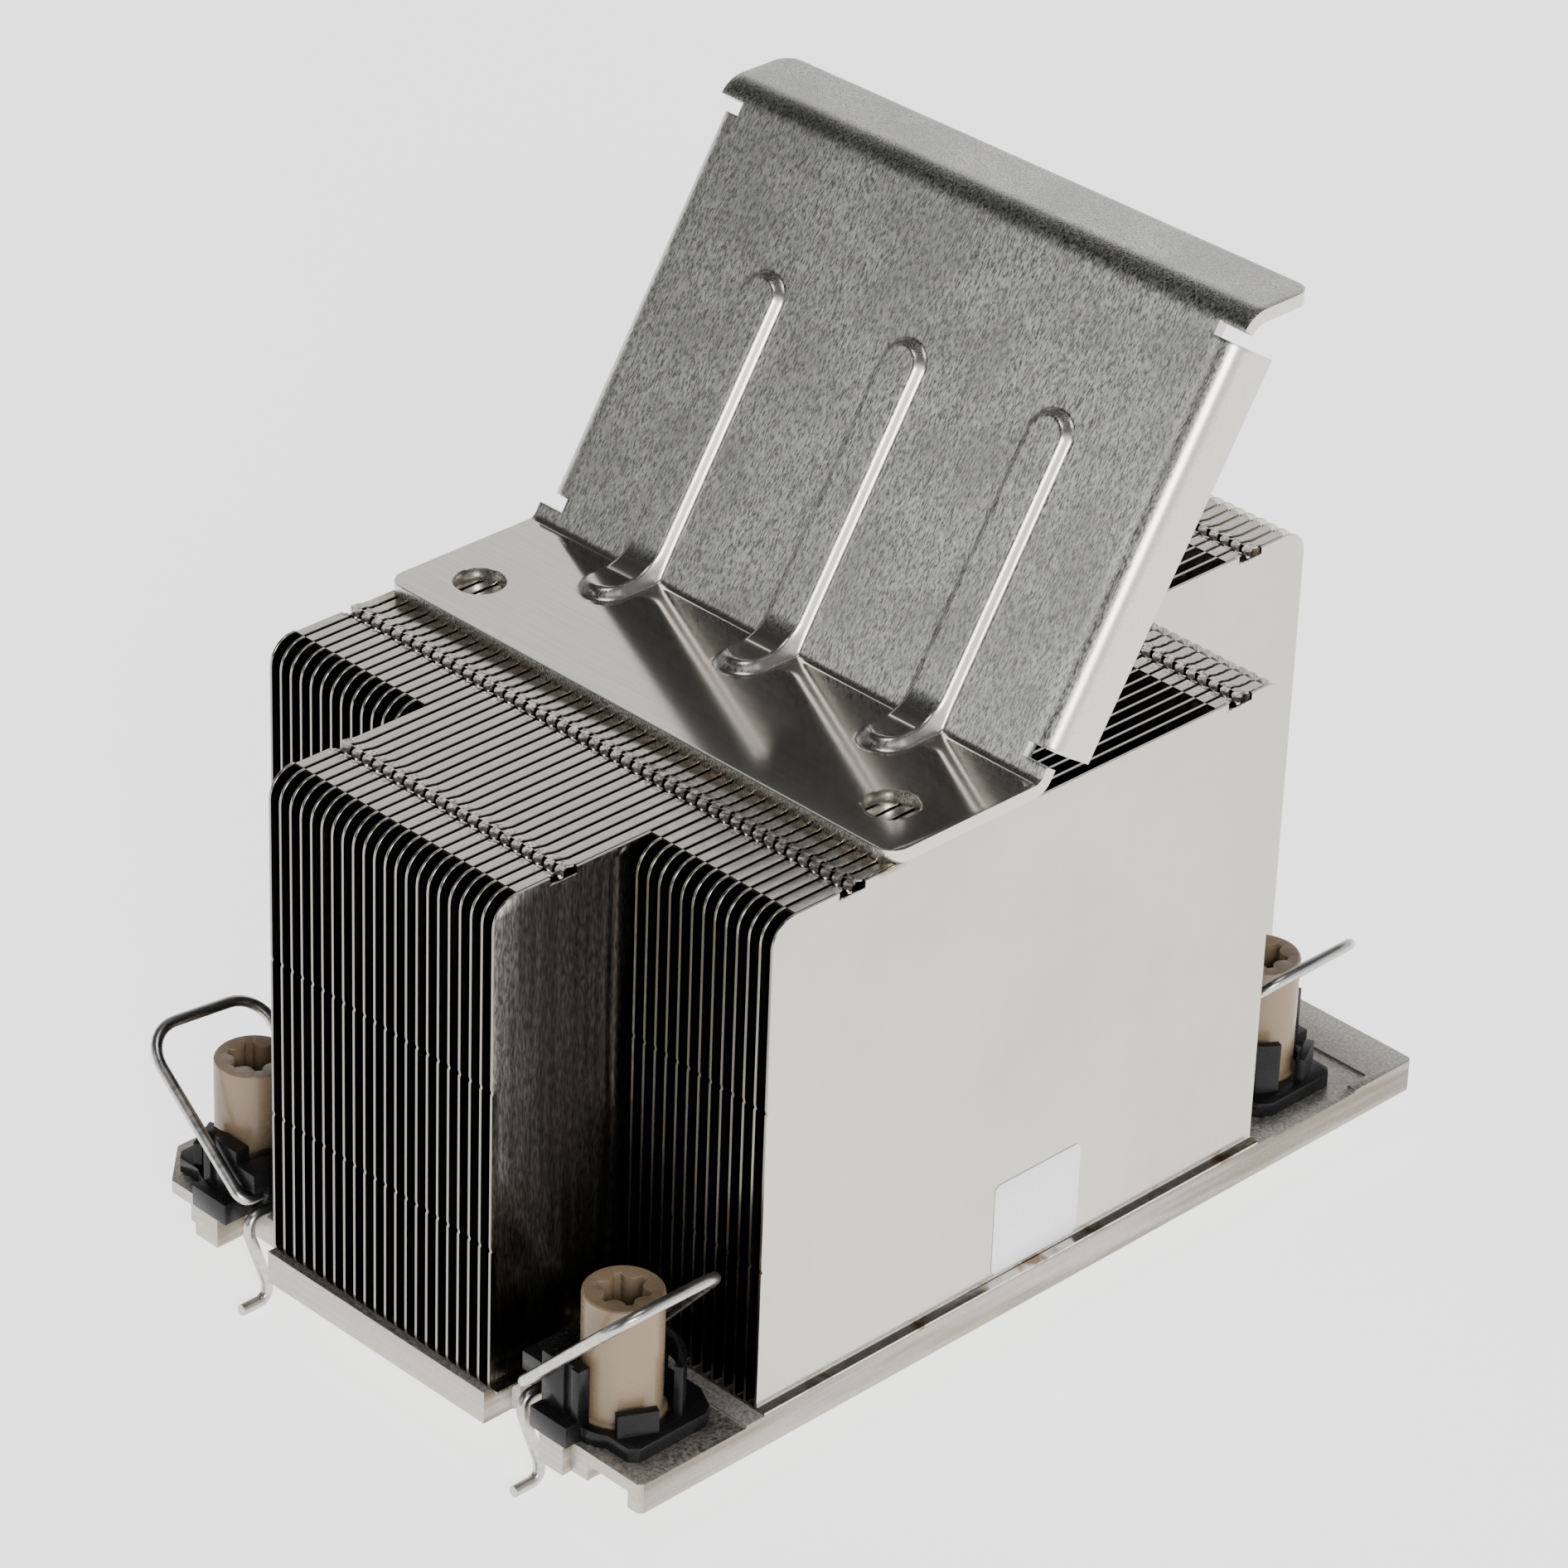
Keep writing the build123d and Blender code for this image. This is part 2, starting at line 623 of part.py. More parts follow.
def bail():
    """Bent wire bail for the front right corner, about its nut axis, at its nominal angle."""
    angle = math.radians(bail_nominal_angle)
    pivot_u = -pivot_offset_u
    far_length = bail_length - bail_far_shortening
    near = (pivot_u + bail_length * math.cos(angle), -arm_near_v, pivot_z + bail_length * math.sin(angle))
    far = (pivot_u + far_length * math.cos(angle), -arm_far_v, pivot_z + far_length * math.sin(angle))
    stub_u = pivot_u + bail_stub_offset
    stub_z = pivot_z + bail_stub_height
    points = [(stub_u, bail_stub_length - arm_near_v, stub_z), (stub_u, -arm_near_v, stub_z), near, far,
              (pivot_u, -arm_far_v, pivot_z), (pivot_u, -hook_knee_v, pivot_z),
              (pivot_u, -hook_knee_v, pivot_z - hook_knee_drop),
              (pivot_u, -hook_waist_v, pivot_z - hook_waist_drop),
              (pivot_u, -hook_waist_v, pivot_z - hook_foot_drop), (pivot_u, -hook_foot_v, pivot_z - hook_foot_drop)]
    radii = [bail_inner_radius, bail_outer_radius, bail_outer_radius, bail_inner_radius, wire_diameter,
             wire_diameter, hook_radius, wire_diameter]
    path = bent_path(points, radii)
    section = Plane(origin=path @ 0, z_dir=path % 0) * RegularPolygon(wire_radius, wire_sides)
    return sweep(section, path, transition=Transition.RIGHT)


def bail_at(side, end, turn):
    """A bail in its corner, turned about its pivot by its own rest angle."""
    pivot = Axis((-pivot_offset_u, 0, pivot_z), (0, -1, 0))
    return on_side(bail().rotate(pivot, turn), side, end)


def assembly():
    """Every node by name."""
    nodes = {"base_plate": base_plate(), "bracket": bracket(), "label": label()}
    nodes.update(fin_stack())
    corner_nut = nut()
    corner_retainer = retainer()
    for end_name, end in (("front", -1), ("rear", 1)):
        for side_name, side in (("left", -1), ("right", 1)):
            corner = f"{end_name}_{side_name}"
            nodes[f"retainer_{corner}"] = on_side(corner_retainer, side, end)
            nodes[f"nut_{corner}"] = on_side(corner_nut, side, end)
            nodes[f"bail_{corner}"] = bail_at(side, end, bail_rest_turns[corner])
    return nodes


os.makedirs("parts", exist_ok=True)
for node_name, node_shape in assembly().items():
    export_step(node_shape, f"parts/{node_name}.step")
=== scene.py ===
# %% [markdown]
# # Dressing a passive server CPU heatsink
# The real object is a machined base plate with 48 sheet fins soldered on it, a folded sheet bracket on
# the fin tops, and at each corner a black moulded retainer, a tan captive nut and a bent wire bail.
# The imported CAD model is loaded first and never moved. Each step below replaces a CAD node by a
# finer piece with a better material, in the same place.

# %% Load the fixed frame
import math

import bmesh
import bpy
from mathutils import Matrix, Vector


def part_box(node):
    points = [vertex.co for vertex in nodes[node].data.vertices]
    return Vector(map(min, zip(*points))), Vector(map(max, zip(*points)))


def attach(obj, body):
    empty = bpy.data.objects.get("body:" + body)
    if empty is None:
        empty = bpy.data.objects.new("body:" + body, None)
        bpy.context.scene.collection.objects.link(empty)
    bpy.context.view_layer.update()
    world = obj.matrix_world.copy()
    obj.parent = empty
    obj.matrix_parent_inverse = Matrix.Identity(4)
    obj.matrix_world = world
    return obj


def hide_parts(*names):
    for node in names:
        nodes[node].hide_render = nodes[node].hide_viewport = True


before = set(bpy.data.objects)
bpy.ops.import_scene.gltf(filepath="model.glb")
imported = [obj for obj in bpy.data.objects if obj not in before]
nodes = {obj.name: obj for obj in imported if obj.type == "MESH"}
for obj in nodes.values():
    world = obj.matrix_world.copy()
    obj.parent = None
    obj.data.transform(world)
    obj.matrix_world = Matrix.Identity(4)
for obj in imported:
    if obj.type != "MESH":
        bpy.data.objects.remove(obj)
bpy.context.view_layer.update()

MM = 0.001

# %% [markdown]
# ## Camera
# The photograph is a studio view from the front right, 30 degrees above the horizon, taken with a long
# lens. The camera is built from its three axes, because that also carries the small roll of the picture.

# %% Camera
camera_azimuth = math.radians(44.633)
camera_elevation = math.radians(30.419)
camera_roll = math.radians(2.087)
camera_distance = 700.37 * MM
camera_target = Vector((-16.932, 14.399, 32.0)) * MM
focal_length = 145.87
sensor_width = 36


def camera_axes(azimuth, elevation, roll):
    """Right, up and backward directions of a camera that looks at the object."""
    back = Vector((math.sin(azimuth) * math.cos(elevation),
                   -math.cos(azimuth) * math.cos(elevation), math.sin(elevation)))
    level = Vector((math.cos(azimuth), math.sin(azimuth), 0))
    above = back.cross(level)
    right = level * math.cos(roll) + above * math.sin(roll)
    up = above * math.cos(roll) - level * math.sin(roll)
    return right, up, back


def link_object(name, data):
    """New object at the origin, in the scene."""
    made = bpy.data.objects.new(name, data)
    bpy.context.scene.collection.objects.link(made)
    return made


right, up, back = camera_axes(camera_azimuth, camera_elevation, camera_roll)
camera_data = bpy.data.cameras.new("camera")
camera_data.lens = focal_length
camera_data.sensor_width = sensor_width
camera_data.clip_start = 0.01
camera = link_object("camera", camera_data)
camera.matrix_world = Matrix.Translation(camera_target + back * camera_distance) @ Matrix(
    (right, up, back)).transposed().to_4x4()
bpy.context.scene.camera = camera
print("camera at", tuple(round(value, 3) for value in camera.matrix_world.translation))

# %% [markdown]
# ## Floor, sky and lamps
# Bare metal has hardly any colour of its own: it shows what stands round it. The fin tops mirror what is
# behind on the left, and the leaning panel mirrors what is in front on the left, which is darker in the
# photograph. So the sky is a bright wall behind and on the right, up to about 35 degrees, dim in front on
# the left and dark overhead, and three soft lamps add the highlights.

# %% Floor
floor_height = -6.4 * MM
floor_reach = 3.0
floor_glow = 1.8

floor_mesh = bpy.data.meshes.new("studio_floor")
floor_mesh.from_pydata([(x * floor_reach, y * floor_reach, floor_height)
                        for x, y in ((-1, -1), (1, -1), (1, 1), (-1, 1))], [], [(0, 1, 2, 3)])
floor = link_object("studio_floor", floor_mesh)
floor_paint = bpy.data.materials.new("pale_floor")
floor_paint.use_nodes = True
floor_shader = floor_paint.node_tree.nodes["Principled BSDF"]
floor_shader.inputs["Base Color"].default_value = (0.90, 0.90, 0.90, 1)
floor_shader.inputs["Roughness"].default_value = 0.9
floor_shader.inputs["Emission Color"].default_value = (1, 1, 1, 1)
floor_shader.inputs["Emission Strength"].default_value = floor_glow
floor.data.materials.append(floor_paint)
print("floor at", floor_height, "m")

# %% Sky
bright_side = Vector((0.55, 0.83, 0.0)).normalized()
sky_strength = 1.3
world = bpy.data.worlds.new("studio_sky")
bpy.context.scene.world = world
world.use_nodes = True
sky = world.node_tree


def ramp_node(tree, source, low, high, out_low, out_high):
    """Smooth change of a number from one range to another, held at the ends."""
    node = tree.nodes.new("ShaderNodeMapRange")
    node.interpolation_type = "SMOOTHSTEP"
    for key, number in (("From Min", low), ("From Max", high), ("To Min", out_low), ("To Max", out_high)):
        node.inputs[key].default_value = number
    tree.links.new(source, node.inputs["Value"])
    return node.outputs[0]


direction = sky.nodes.new("ShaderNodeTexCoord")
parts = sky.nodes.new("ShaderNodeSeparateXYZ")
towards = sky.nodes.new("ShaderNodeVectorMath")
towards.operation = "DOT_PRODUCT"
towards.inputs[1].default_value = bright_side
sky.links.new(direction.outputs["Generated"], parts.inputs[0])
sky.links.new(direction.outputs["Generated"], towards.inputs[0])
wall = ramp_node(sky, parts.outputs["Z"], 0.50, 0.68, 1.0, 0.10)
around = ramp_node(sky, towards.outputs["Value"], -0.6, 0.25, 0.20, 1.0)
product = sky.nodes.new("ShaderNodeMath")
product.operation = "MULTIPLY"
sky.links.new(wall, product.inputs[0])
sky.links.new(around, product.inputs[1])
sky.links.new(product.outputs[0], sky.nodes["Background"].inputs["Color"])
sky.nodes["Background"].inputs["Strength"].default_value = sky_strength
print("sky strength:", sky_strength)

# %% Lamps
# Name, place and width in metres, and power in watts.
lamp_aim = Vector((0, 0, 0.04))
lamps = [("key_softbox", (0.95, -0.62, 0.55), 0.45, 9.0),
         ("front_softbox", (-0.36, -0.85, 0.44), 0.50, 0.75),
         ("top_softbox", (0.12, -0.12, 1.15), 0.40, 2.5)]
for name, place, size, power in lamps:
    lamp_data = bpy.data.lights.new(name, "AREA")
    lamp_data.shape = "DISK"
    lamp_data.size = size
    lamp_data.energy = power
    lamp = link_object(name, lamp_data)
    lamp.location = place
    lamp.rotation_mode = "QUATERNION"
    lamp.rotation_quaternion = (Vector(place) - lamp_aim).to_track_quat("Z", "Y")
print("lamps:", [lamp[0] for lamp in lamps])

# %% [markdown]
# ## Finishes
# Every finish is a small node tree on one Principled shader. The patterns read Object coordinates, so
# they stay where they are on the piece. A few helpers keep each tree short: stretched noise for grain,
# a ramp for contrast, and a bump for relief.

# %% Helpers for node trees
class Finish:
    """A material and short ways to grow its node tree."""

    def __init__(self, name, colour, roughness, metallic=0.0):
        self.material = bpy.data.materials.new(name)
        self.material.use_nodes = True
        self.tree = self.material.node_tree
        self.shader = self.tree.nodes["Principled BSDF"]
        self.shader.inputs["Base Color"].default_value = (*colour, 1)
        self.shader.inputs["Roughness"].default_value = roughness
        self.shader.inputs["Metallic"].default_value = metallic
        self.coordinates = self.add("ShaderNodeTexCoord").outputs
        self.axes = self.parts_of("Object")

    def add(self, kind, **settings):
        node = self.tree.nodes.new(kind)
        for key, value in settings.items():
            setattr(node, key, value)
        return node

    def join(self, output, target):
        self.tree.links.new(output, target)

    def noise(self, scale, stretch=(1, 1, 1), turn=(0, 0, 0), detail=4.0, rough=0.55):
        """Noise in Object coordinates, scale in features per metre."""
        mapping = self.add("ShaderNodeMapping", vector_type="TEXTURE")
        mapping.inputs["Scale"].default_value = [1 / (scale * value) for value in stretch]
        mapping.inputs["Rotation"].default_value = [math.radians(value) for value in turn]
        texture = self.add("ShaderNodeTexNoise")
        texture.inputs["Scale"].default_value = 1.0
        texture.inputs["Detail"].default_value = detail
        texture.inputs["Roughness"].default_value = rough
        self.join(self.coordinates["Object"], mapping.inputs["Vector"])
        self.join(mapping.outputs[0], texture.inputs["Vector"])
        return texture.outputs["Fac"]

    def parts_of(self, kind):
        """A place on the piece (Object) or a face's direction (Normal) as three numbers."""
        node = self.add("ShaderNodeSeparateXYZ")
        self.join(self.coordinates[kind], node.inputs[0])
        return node.outputs

    def math(self, operation, first, second=0.0):
        node = self.add("ShaderNodeMath", operation=operation)
        for socket, value in zip(node.inputs, (first, second)):
            if isinstance(value, (int, float)):
                socket.default_value = value
            else:
                self.join(value, socket)
        return node.outputs[0]

    def product(self, *masks):
        """Several masks multiplied together."""
        result = masks[0]
        for mask in masks[1:]:
            result = self.math("MULTIPLY", result, mask)
        return result

    def fit(self, value, low, high, out_low=0.0, out_high=1.0):
        """Map a value from one range to another, held at the ends."""
        return ramp_node(self.tree, value, low, high, out_low, out_high)

    def blend(self, factor, first, second):
        """Mix two colours by a factor."""
        node = self.add("ShaderNodeMix", data_type="RGBA")
        self.join(factor, node.inputs["Factor"])
        for socket, value in ((node.inputs[6], first), (node.inputs[7], second)):
            if isinstance(value, tuple):
                socket.default_value = (*value, 1)
            else:
                self.join(value, socket)
        return node.outputs[2]

    def tone(self, pattern, dark, light, low=0.3, high=0.7):
        """Colour that goes from dark to light with a pattern."""
        return self.blend(self.fit(pattern, low, high), dark, light)

    def layers(self, colour, *covers):
        """Lay further colours over the first one, each through its mask."""
        for mask, cover in covers:
            colour = self.blend(mask, colour, cover)
        return colour

    def mix(self, factor, first, second):
        """Mix two numbers by a factor."""
        node = self.add("ShaderNodeMix", data_type="FLOAT")
        for socket, value in ((node.inputs["Factor"], factor), (node.inputs[2], first), (node.inputs[3], second)):
            self.join(value, socket)
        return node.outputs[0]

    def relief(self, height, distance):
        """Bump from a height, with its depth in metres."""
        node = self.add("ShaderNodeBump")
        node.inputs["Distance"].default_value = distance
        self.join(height, node.inputs["Height"])
        return node.outputs[0]

    def along(self, axis, low, high, out_low=0.0, out_high=1.0):
        """Ramp along an axis, between two places in millimetres."""
        return self.fit(self.axes[axis], low * MM, high * MM, out_low, out_high)

    def near(self, axis, centre, reach, soft):
        """1 within reach of a plane across an axis, falling to 0; in millimetres."""
        away = self.math("ABSOLUTE", self.math("SUBTRACT", self.axes[axis], centre * MM))
        return self.fit(away, (reach + soft) * MM, reach * MM)

    def wear(self, colour=None, roughness=None, normal=None):
        """Link what was made to the shader."""
        for value, socket in ((colour, "Base Color"), (roughness, "Roughness"), (normal, "Normal")):
            if value is not None:
                self.join(value, self.shader.inputs[socket])
        return self.material


# %% Sizes shared with the CAD model, in millimetres
plate_top = 3.9
fin_top = 62.0
fin_pitch = 1.6
fin_thickness = 0.3
flange_width = 1.35
bracket_front = -25.7
first_fin_x = -37.6
centre_ends = (-59.5, 59.5)
side_ends = (-41.7, 33.2)
centre_rows = (-50.35, 50.45)
side_rows = (-30.95, 25.85)
all_rows = centre_rows + side_rows

# %% [markdown]
# ## Finish: rolled fin sheet
# The fins are thin nickel-plated sheet. It is a warm light grey with a satin sheen, faint upright
# rolling streaks and a soft cloudiness. The pierced interlocks are crumbly, dark with bright specks,
# solder has stained the strip along the bracket and the feet, and the cut edges are duller. The faces
# that look into the gaps get painted shade, mottled, darkest and brown near the plate. Each of these is a mask.

# %% Fin sheet
fins = Finish("fin_sheet_satin", (0.51, 0.49, 0.455), 0.22, metallic=1.0)
fin_facing = fins.parts_of("Normal")
streaks = fins.noise(900, stretch=(1, 1, 0.05), detail=3)
sheet_tone = fins.tone(fins.noise(45, detail=5, rough=0.6), (0.478, 0.456, 0.405), (0.522, 0.50, 0.447))
near_rows = None
for row in all_rows:
    near_row = fins.near("Y", row, 1.2, 1.2)
    near_rows = near_row if near_rows is None else fins.math("MAXIMUM", near_rows, near_row)
row_mask = fins.product(near_rows, fins.along("Z", fin_top - 1.4, fin_top - 0.6),
                        fins.fit(fins.noise(1400), 0.35, 0.6, 0.3, 0.95))
row_tone = fins.tone(fins.noise(3200, detail=4), (0.15, 0.13, 0.10), (0.82, 0.76, 0.68), 0.40, 0.62)
print("rows of interlocks:", all_rows)

# %% Stains, cut edges and painted shade on the inner faces of the fins
band = fins.product(fins.near("Y", bracket_front + 0.3, 0.9, 1.9),
                    fins.along("Z", fin_top - 0.8, fin_top - 0.3),
                    fins.fit(fins.noise(500), 0.3, 0.6, 0.35, 0.95))
stain = fins.product(fins.along("Z", 4.9, 4.2), fins.fit(fins.noise(220), 0.52, 0.64))
cut_face = fins.fit(fins.math("ABSOLUTE", fin_facing["Y"]), 0.75, 0.92)
# Painted shade: faces that look into the narrow gaps between fins, apart from the outer faces and the far ends, are
# made dark and mottled, darkest and brown near the plate.
inner_face = fins.product(fins.fit(fins.math("ABSOLUTE", fin_facing["X"]), 0.8, 0.95),
                          fins.along("X", 37.6, 37.4), fins.along("Y", 33.4, 33.0),
                          fins.along("X", -37.6, -37.4))
mottled_gap_shade = fins.tone(fins.noise(3600, stretch=(1, 1, 0.25), detail=3), (0.10, 0.095, 0.085), (0.34, 0.325, 0.295))
deep_gap_shade = fins.product(fins.along("Z", 17.0, 8.0), fins.fit(fins.noise(150), 0.40, 0.60, 0.2, 0.9))
gap_shade_tone = fins.blend(deep_gap_shade, mottled_gap_shade, (0.075, 0.052, 0.034))
sheet_tone = fins.layers(sheet_tone, (row_mask, row_tone), (band, (0.29, 0.225, 0.16)), (stain, (0.20, 0.14, 0.09)),
                         (cut_face, (0.27, 0.255, 0.225)), (inner_face, gap_shade_tone))
fin_material = fins.wear(sheet_tone, fins.fit(streaks, 0.3, 0.7, 0.16, 0.25), fins.relief(streaks, 0.000004))
print("finish:", fin_material.name)

# %% [markdown]
# ## Finish: milled and blasted plate
# The plate's ends show fine saw lines along their length, its long sides darker worn streaks, and its
# top the grain of blasting. One material can do all three: the direction that a face points in chooses
# between them.

# %% Plate metal
plate = Finish("plate_metal_milled", (0.50, 0.47, 0.42), 0.36, metallic=1.0)
plate_facing = plate.parts_of("Normal")
is_top = plate.fit(plate_facing["Z"], 0.5, 0.8)
is_long_side = plate.fit(plate.math("ABSOLUTE", plate_facing["X"]), 0.6, 0.9)
grain = plate.noise(2600, detail=6, rough=0.7)
saw_lines = plate.noise(2400, stretch=(0.03, 0.03, 1), detail=3)
long_streaks = plate.noise(420, stretch=(1, 0.05, 1), detail=4)
end_tone = plate.tone(saw_lines, (0.415, 0.39, 0.345), (0.455, 0.43, 0.385))
worn_tone = plate.tone(long_streaks, (0.20, 0.175, 0.135), (0.40, 0.375, 0.33), 0.35, 0.65)
top_tone = plate.tone(grain, (0.30, 0.285, 0.255), (0.60, 0.575, 0.525), 0.35, 0.65)
smudge = plate.fit(plate.noise(70, detail=5), 0.52, 0.75, 0.0, 0.45)
plate_tone = plate.layers(end_tone, (is_long_side, worn_tone), (is_top, top_tone), (smudge, (0.38, 0.33, 0.27)))
plate_material = plate.wear(plate_tone, plate.fit(grain, 0.3, 0.7, 0.36, 0.55),
                            plate.relief(plate.mix(is_top, saw_lines, grain), 0.00002))
print("finish:", plate_material.name)

# %% [markdown]
# ## Finish: folded bracket sheet
# The bracket is satin nickel on steel. The leaning panel has a mottled grain that runs up the sheet,
# while the base has kept a smoother, nearly mirror-like skin. The slope of the sheet decides which of
# the two a point belongs to, with a soft change over the bend, and everything well above the base
# belongs to the panel. The cut front edge is brown and ridged. Painted shade darkens the left flanks of the
# ribs and, more softly, the left part of the panel.

# %% Bracket sheet
bracket_bend_y = -4.4
bracket_lean = 32.2
steel = Finish("bracket_steel_satin", (0.56, 0.55, 0.53), 0.3, metallic=1.0)
sheet_facing = steel.parts_of("Normal")
above_base = steel.along("Z", fin_top + 7.5, fin_top + 9.5)
sloping = steel.fit(sheet_facing["Z"], 0.97, 0.60)
on_panel = steel.product(steel.math("MAXIMUM", above_base, sloping),
                         steel.fit(steel.math("ABSOLUTE", sheet_facing["X"]), 0.75, 0.35))
panel_grain = steel.noise(6400, stretch=(1, 1, 0.25), turn=(-bracket_lean, 0, 0), detail=3, rough=0.6)
panel_clouds = steel.fit(steel.noise(120, detail=6, rough=0.6), 0.38, 0.66, 0.0, 0.45)
# Painted shade: the panel is blended towards a darker grey from a little right of the middle to its left edge.
painted_left_shade = steel.along("X", 10.0, -36.0, 0.0, 0.22)
panel_tone = steel.layers(steel.tone(panel_grain, (0.18, 0.178, 0.166), (0.98, 0.975, 0.92)),
                          (panel_clouds, (0.36, 0.358, 0.335)), (painted_left_shade, (0.25, 0.248, 0.23)))
print("bracket leans", bracket_lean, "degrees from upright")

# %% Base of the bracket
base_grain = steel.noise(2600, stretch=(0.03, 1, 1), detail=3)
cut_edge = steel.product(steel.fit(sheet_facing["Y"], -0.6, -0.85), steel.along("Y", -24.4, -25.2))
striation = steel.noise(3600, stretch=(1, 1, 0.06), detail=3)
cut_tone = steel.tone(striation, (0.36, 0.31, 0.24), (0.66, 0.61, 0.53), 0.35, 0.65)
# Painted shade: faces that point to the left, the left flanks of the ribs, are made nearly black.
shaded_flank = steel.fit(sheet_facing["X"], -0.25, -0.6)
base_tone = steel.layers(steel.tone(base_grain, (0.54, 0.522, 0.478), (0.605, 0.587, 0.542)),
                         (cut_edge, cut_tone), (shaded_flank, (0.10, 0.098, 0.09)))
bracket_rough = steel.mix(on_panel, steel.fit(sheet_facing["Z"], 0.985, 0.85, 0.09, 0.27),
                          steel.fit(panel_grain, 0.3, 0.7, 0.24, 0.36))
bracket_material = steel.wear(steel.blend(on_panel, base_tone, panel_tone), bracket_rough,
                              steel.relief(steel.product(panel_grain, on_panel), 0.000012))
print("finish:", bracket_material.name)

# %% [markdown]
# ## Finishes: moulded parts, wire and label
# The nuts are a tan engineering plastic with flow marks, the retainers a satin black one, the bails a
# drawn spring wire with lines along it, and the label a matte coated paper.

# %% Small finishes
nut_finish = Finish("nut_plastic_tan", (0.235, 0.17, 0.108), 0.24)
flow = nut_finish.noise(110, stretch=(1, 1, 0.4), detail=2)
nut_material = nut_finish.wear(
    nut_finish.tone(flow, (0.23, 0.165, 0.105), (0.24, 0.173, 0.11)),
    nut_finish.fit(nut_finish.noise(900), 0.3, 0.7, 0.22, 0.34), nut_finish.relief(flow, 0.000005))
nut_finish.shader.inputs["Specular IOR Level"].default_value = 0.38

black_finish = Finish("retainer_plastic_black", (0.005, 0.005, 0.0055), 0.36)
spark = black_finish.noise(3500, detail=3)
black_material = black_finish.wear(
    black_finish.tone(black_finish.noise(200), (0.004, 0.004, 0.0045), (0.009, 0.009, 0.010), 0.35, 0.7),
    black_finish.fit(spark, 0.3, 0.7, 0.24, 0.34), black_finish.relief(spark, 0.00001))
black_finish.shader.inputs["Specular IOR Level"].default_value = 0.2

wire_finish = Finish("bail_wire_drawn", (0.60, 0.59, 0.57), 0.3, metallic=1.0)
drawn = wire_finish.noise(1500, stretch=(1, 0.15, 1), detail=4)
wire_material = wire_finish.wear(
    wire_finish.tone(drawn, (0.38, 0.375, 0.36), (0.50, 0.495, 0.475)),
    wire_finish.fit(drawn, 0.3, 0.7, 0.26, 0.34), wire_finish.relief(drawn, 0.000002))

label_finish = Finish("label_paper_white", (0.86, 0.86, 0.875), 0.55)
fibres = label_finish.noise(1800, detail=4)
label_material = label_finish.wear(
    label_finish.tone(fibres, (0.84, 0.84, 0.86), (0.89, 0.89, 0.905)), None, label_finish.relief(fibres, 0.00001))
print("finishes:", [m.name for m in (nut_material, black_material, wire_material, label_material)])

# %% [markdown]
# ## Tools for pieces
# A finished piece is a plain mesh at the origin. One helper gives it its material, its smooth shading,
# its body and the CAD nodes that it stands for, so that no piece is forgotten.

# %% Piece helpers
def settle(piece, material, body, replaced, smooth_angle=35):
    """Give a finished piece its material, body, slot and the nodes it replaces."""
    piece.data.materials.clear()
    piece.data.materials.append(material)
    for polygon in piece.data.polygons:
        polygon.use_smooth = True
        polygon.material_index = 0
    piece.data.set_sharp_from_angle(angle=math.radians(smooth_angle))
    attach(piece, body)
    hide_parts(*replaced)
    print(piece.name, len(piece.data.polygons), "faces on", body)


def bake(piece):
    """Apply every modifier: the evaluated mesh becomes the piece's own."""
    bpy.context.view_layer.update()
    evaluated = piece.evaluated_get(bpy.context.evaluated_depsgraph_get())
    plain = bpy.data.meshes.new_from_object(evaluated)
    piece.modifiers.clear()
    piece.data = plain
    return piece


def shape_of(*pieces):
    """One bmesh with the meshes of all the given pieces."""
    shape = bmesh.new()
    for piece in pieces:
        shape.from_mesh(piece.data)
    return shape


def mesh_of(shape, name):
    """New mesh from a bmesh, which is then released."""
    mesh = bpy.data.meshes.new(name)
    shape.to_mesh(mesh)
    shape.free()
    return mesh


def bridge(shape, rings):
    """A cap on both ends, and faces between closed rings of points."""
    shape.faces.new(list(reversed(rings[0])))
    shape.faces.new(rings[-1])
    for first, second in zip(rings, rings[1:]):
        for index in range(len(first)):
            after = (index + 1) % len(first)
            shape.faces.new((first[index], first[after], second[after], second[index]))


def soften(piece, width, angle):
    """Small round on edges sharper than an angle; its width is in millimetres."""
    bevel = piece.modifiers.new("soft_edges", "BEVEL")
    bevel.width = width * MM
    bevel.segments = 2
    bevel.limit_method = "ANGLE"
    bevel.angle_limit = math.radians(angle)


def softened_copy(node_name, new_name, width):
    """Merged copy of a CAD node with a small bevel on its sharp edges."""
    shape = shape_of(nodes[node_name])
    bmesh.ops.remove_doubles(shape, verts=shape.verts, dist=1e-6)
    bmesh.ops.dissolve_limit(shape, angle_limit=math.radians(1), verts=shape.verts, edges=shape.edges)
    piece = link_object(new_name, mesh_of(shape, new_name))
    soften(piece, width, 40)
    return bake(piece)


def smooth(ratio):
    """Ease from 0 to 1 without a kink at either end."""
    return ratio * ratio * (3 - 2 * ratio)


def bend_points(before, corner, after, radius, steps):
    """Points of a round bend at a corner, from where it starts to where it ends."""
    arrive, leave = (corner - before).normalized(), (after - corner).normalized()
    turn = arrive.angle(leave)
    start = corner - arrive * (radius * math.tan(turn / 2))
    middle = corner + (leave - arrive).normalized() * (radius / math.cos(turn / 2))
    sweeps = [turn * step / steps for step in range(1, steps + 1)]
    return [start] + [middle + ((start - middle) * math.cos(sweep) + arrive * radius * math.sin(sweep))
                      for sweep in sweeps]


# %% [markdown]
# ## Fins
# One fin is a sheet whose cross-section changes along its length: bare web, folded flange, or a pierced
# interlock. Lofting one ring of points through stations along the fin gives a closed mesh with no
# booleans. Geometry Nodes then repeat it at the fin pitch.

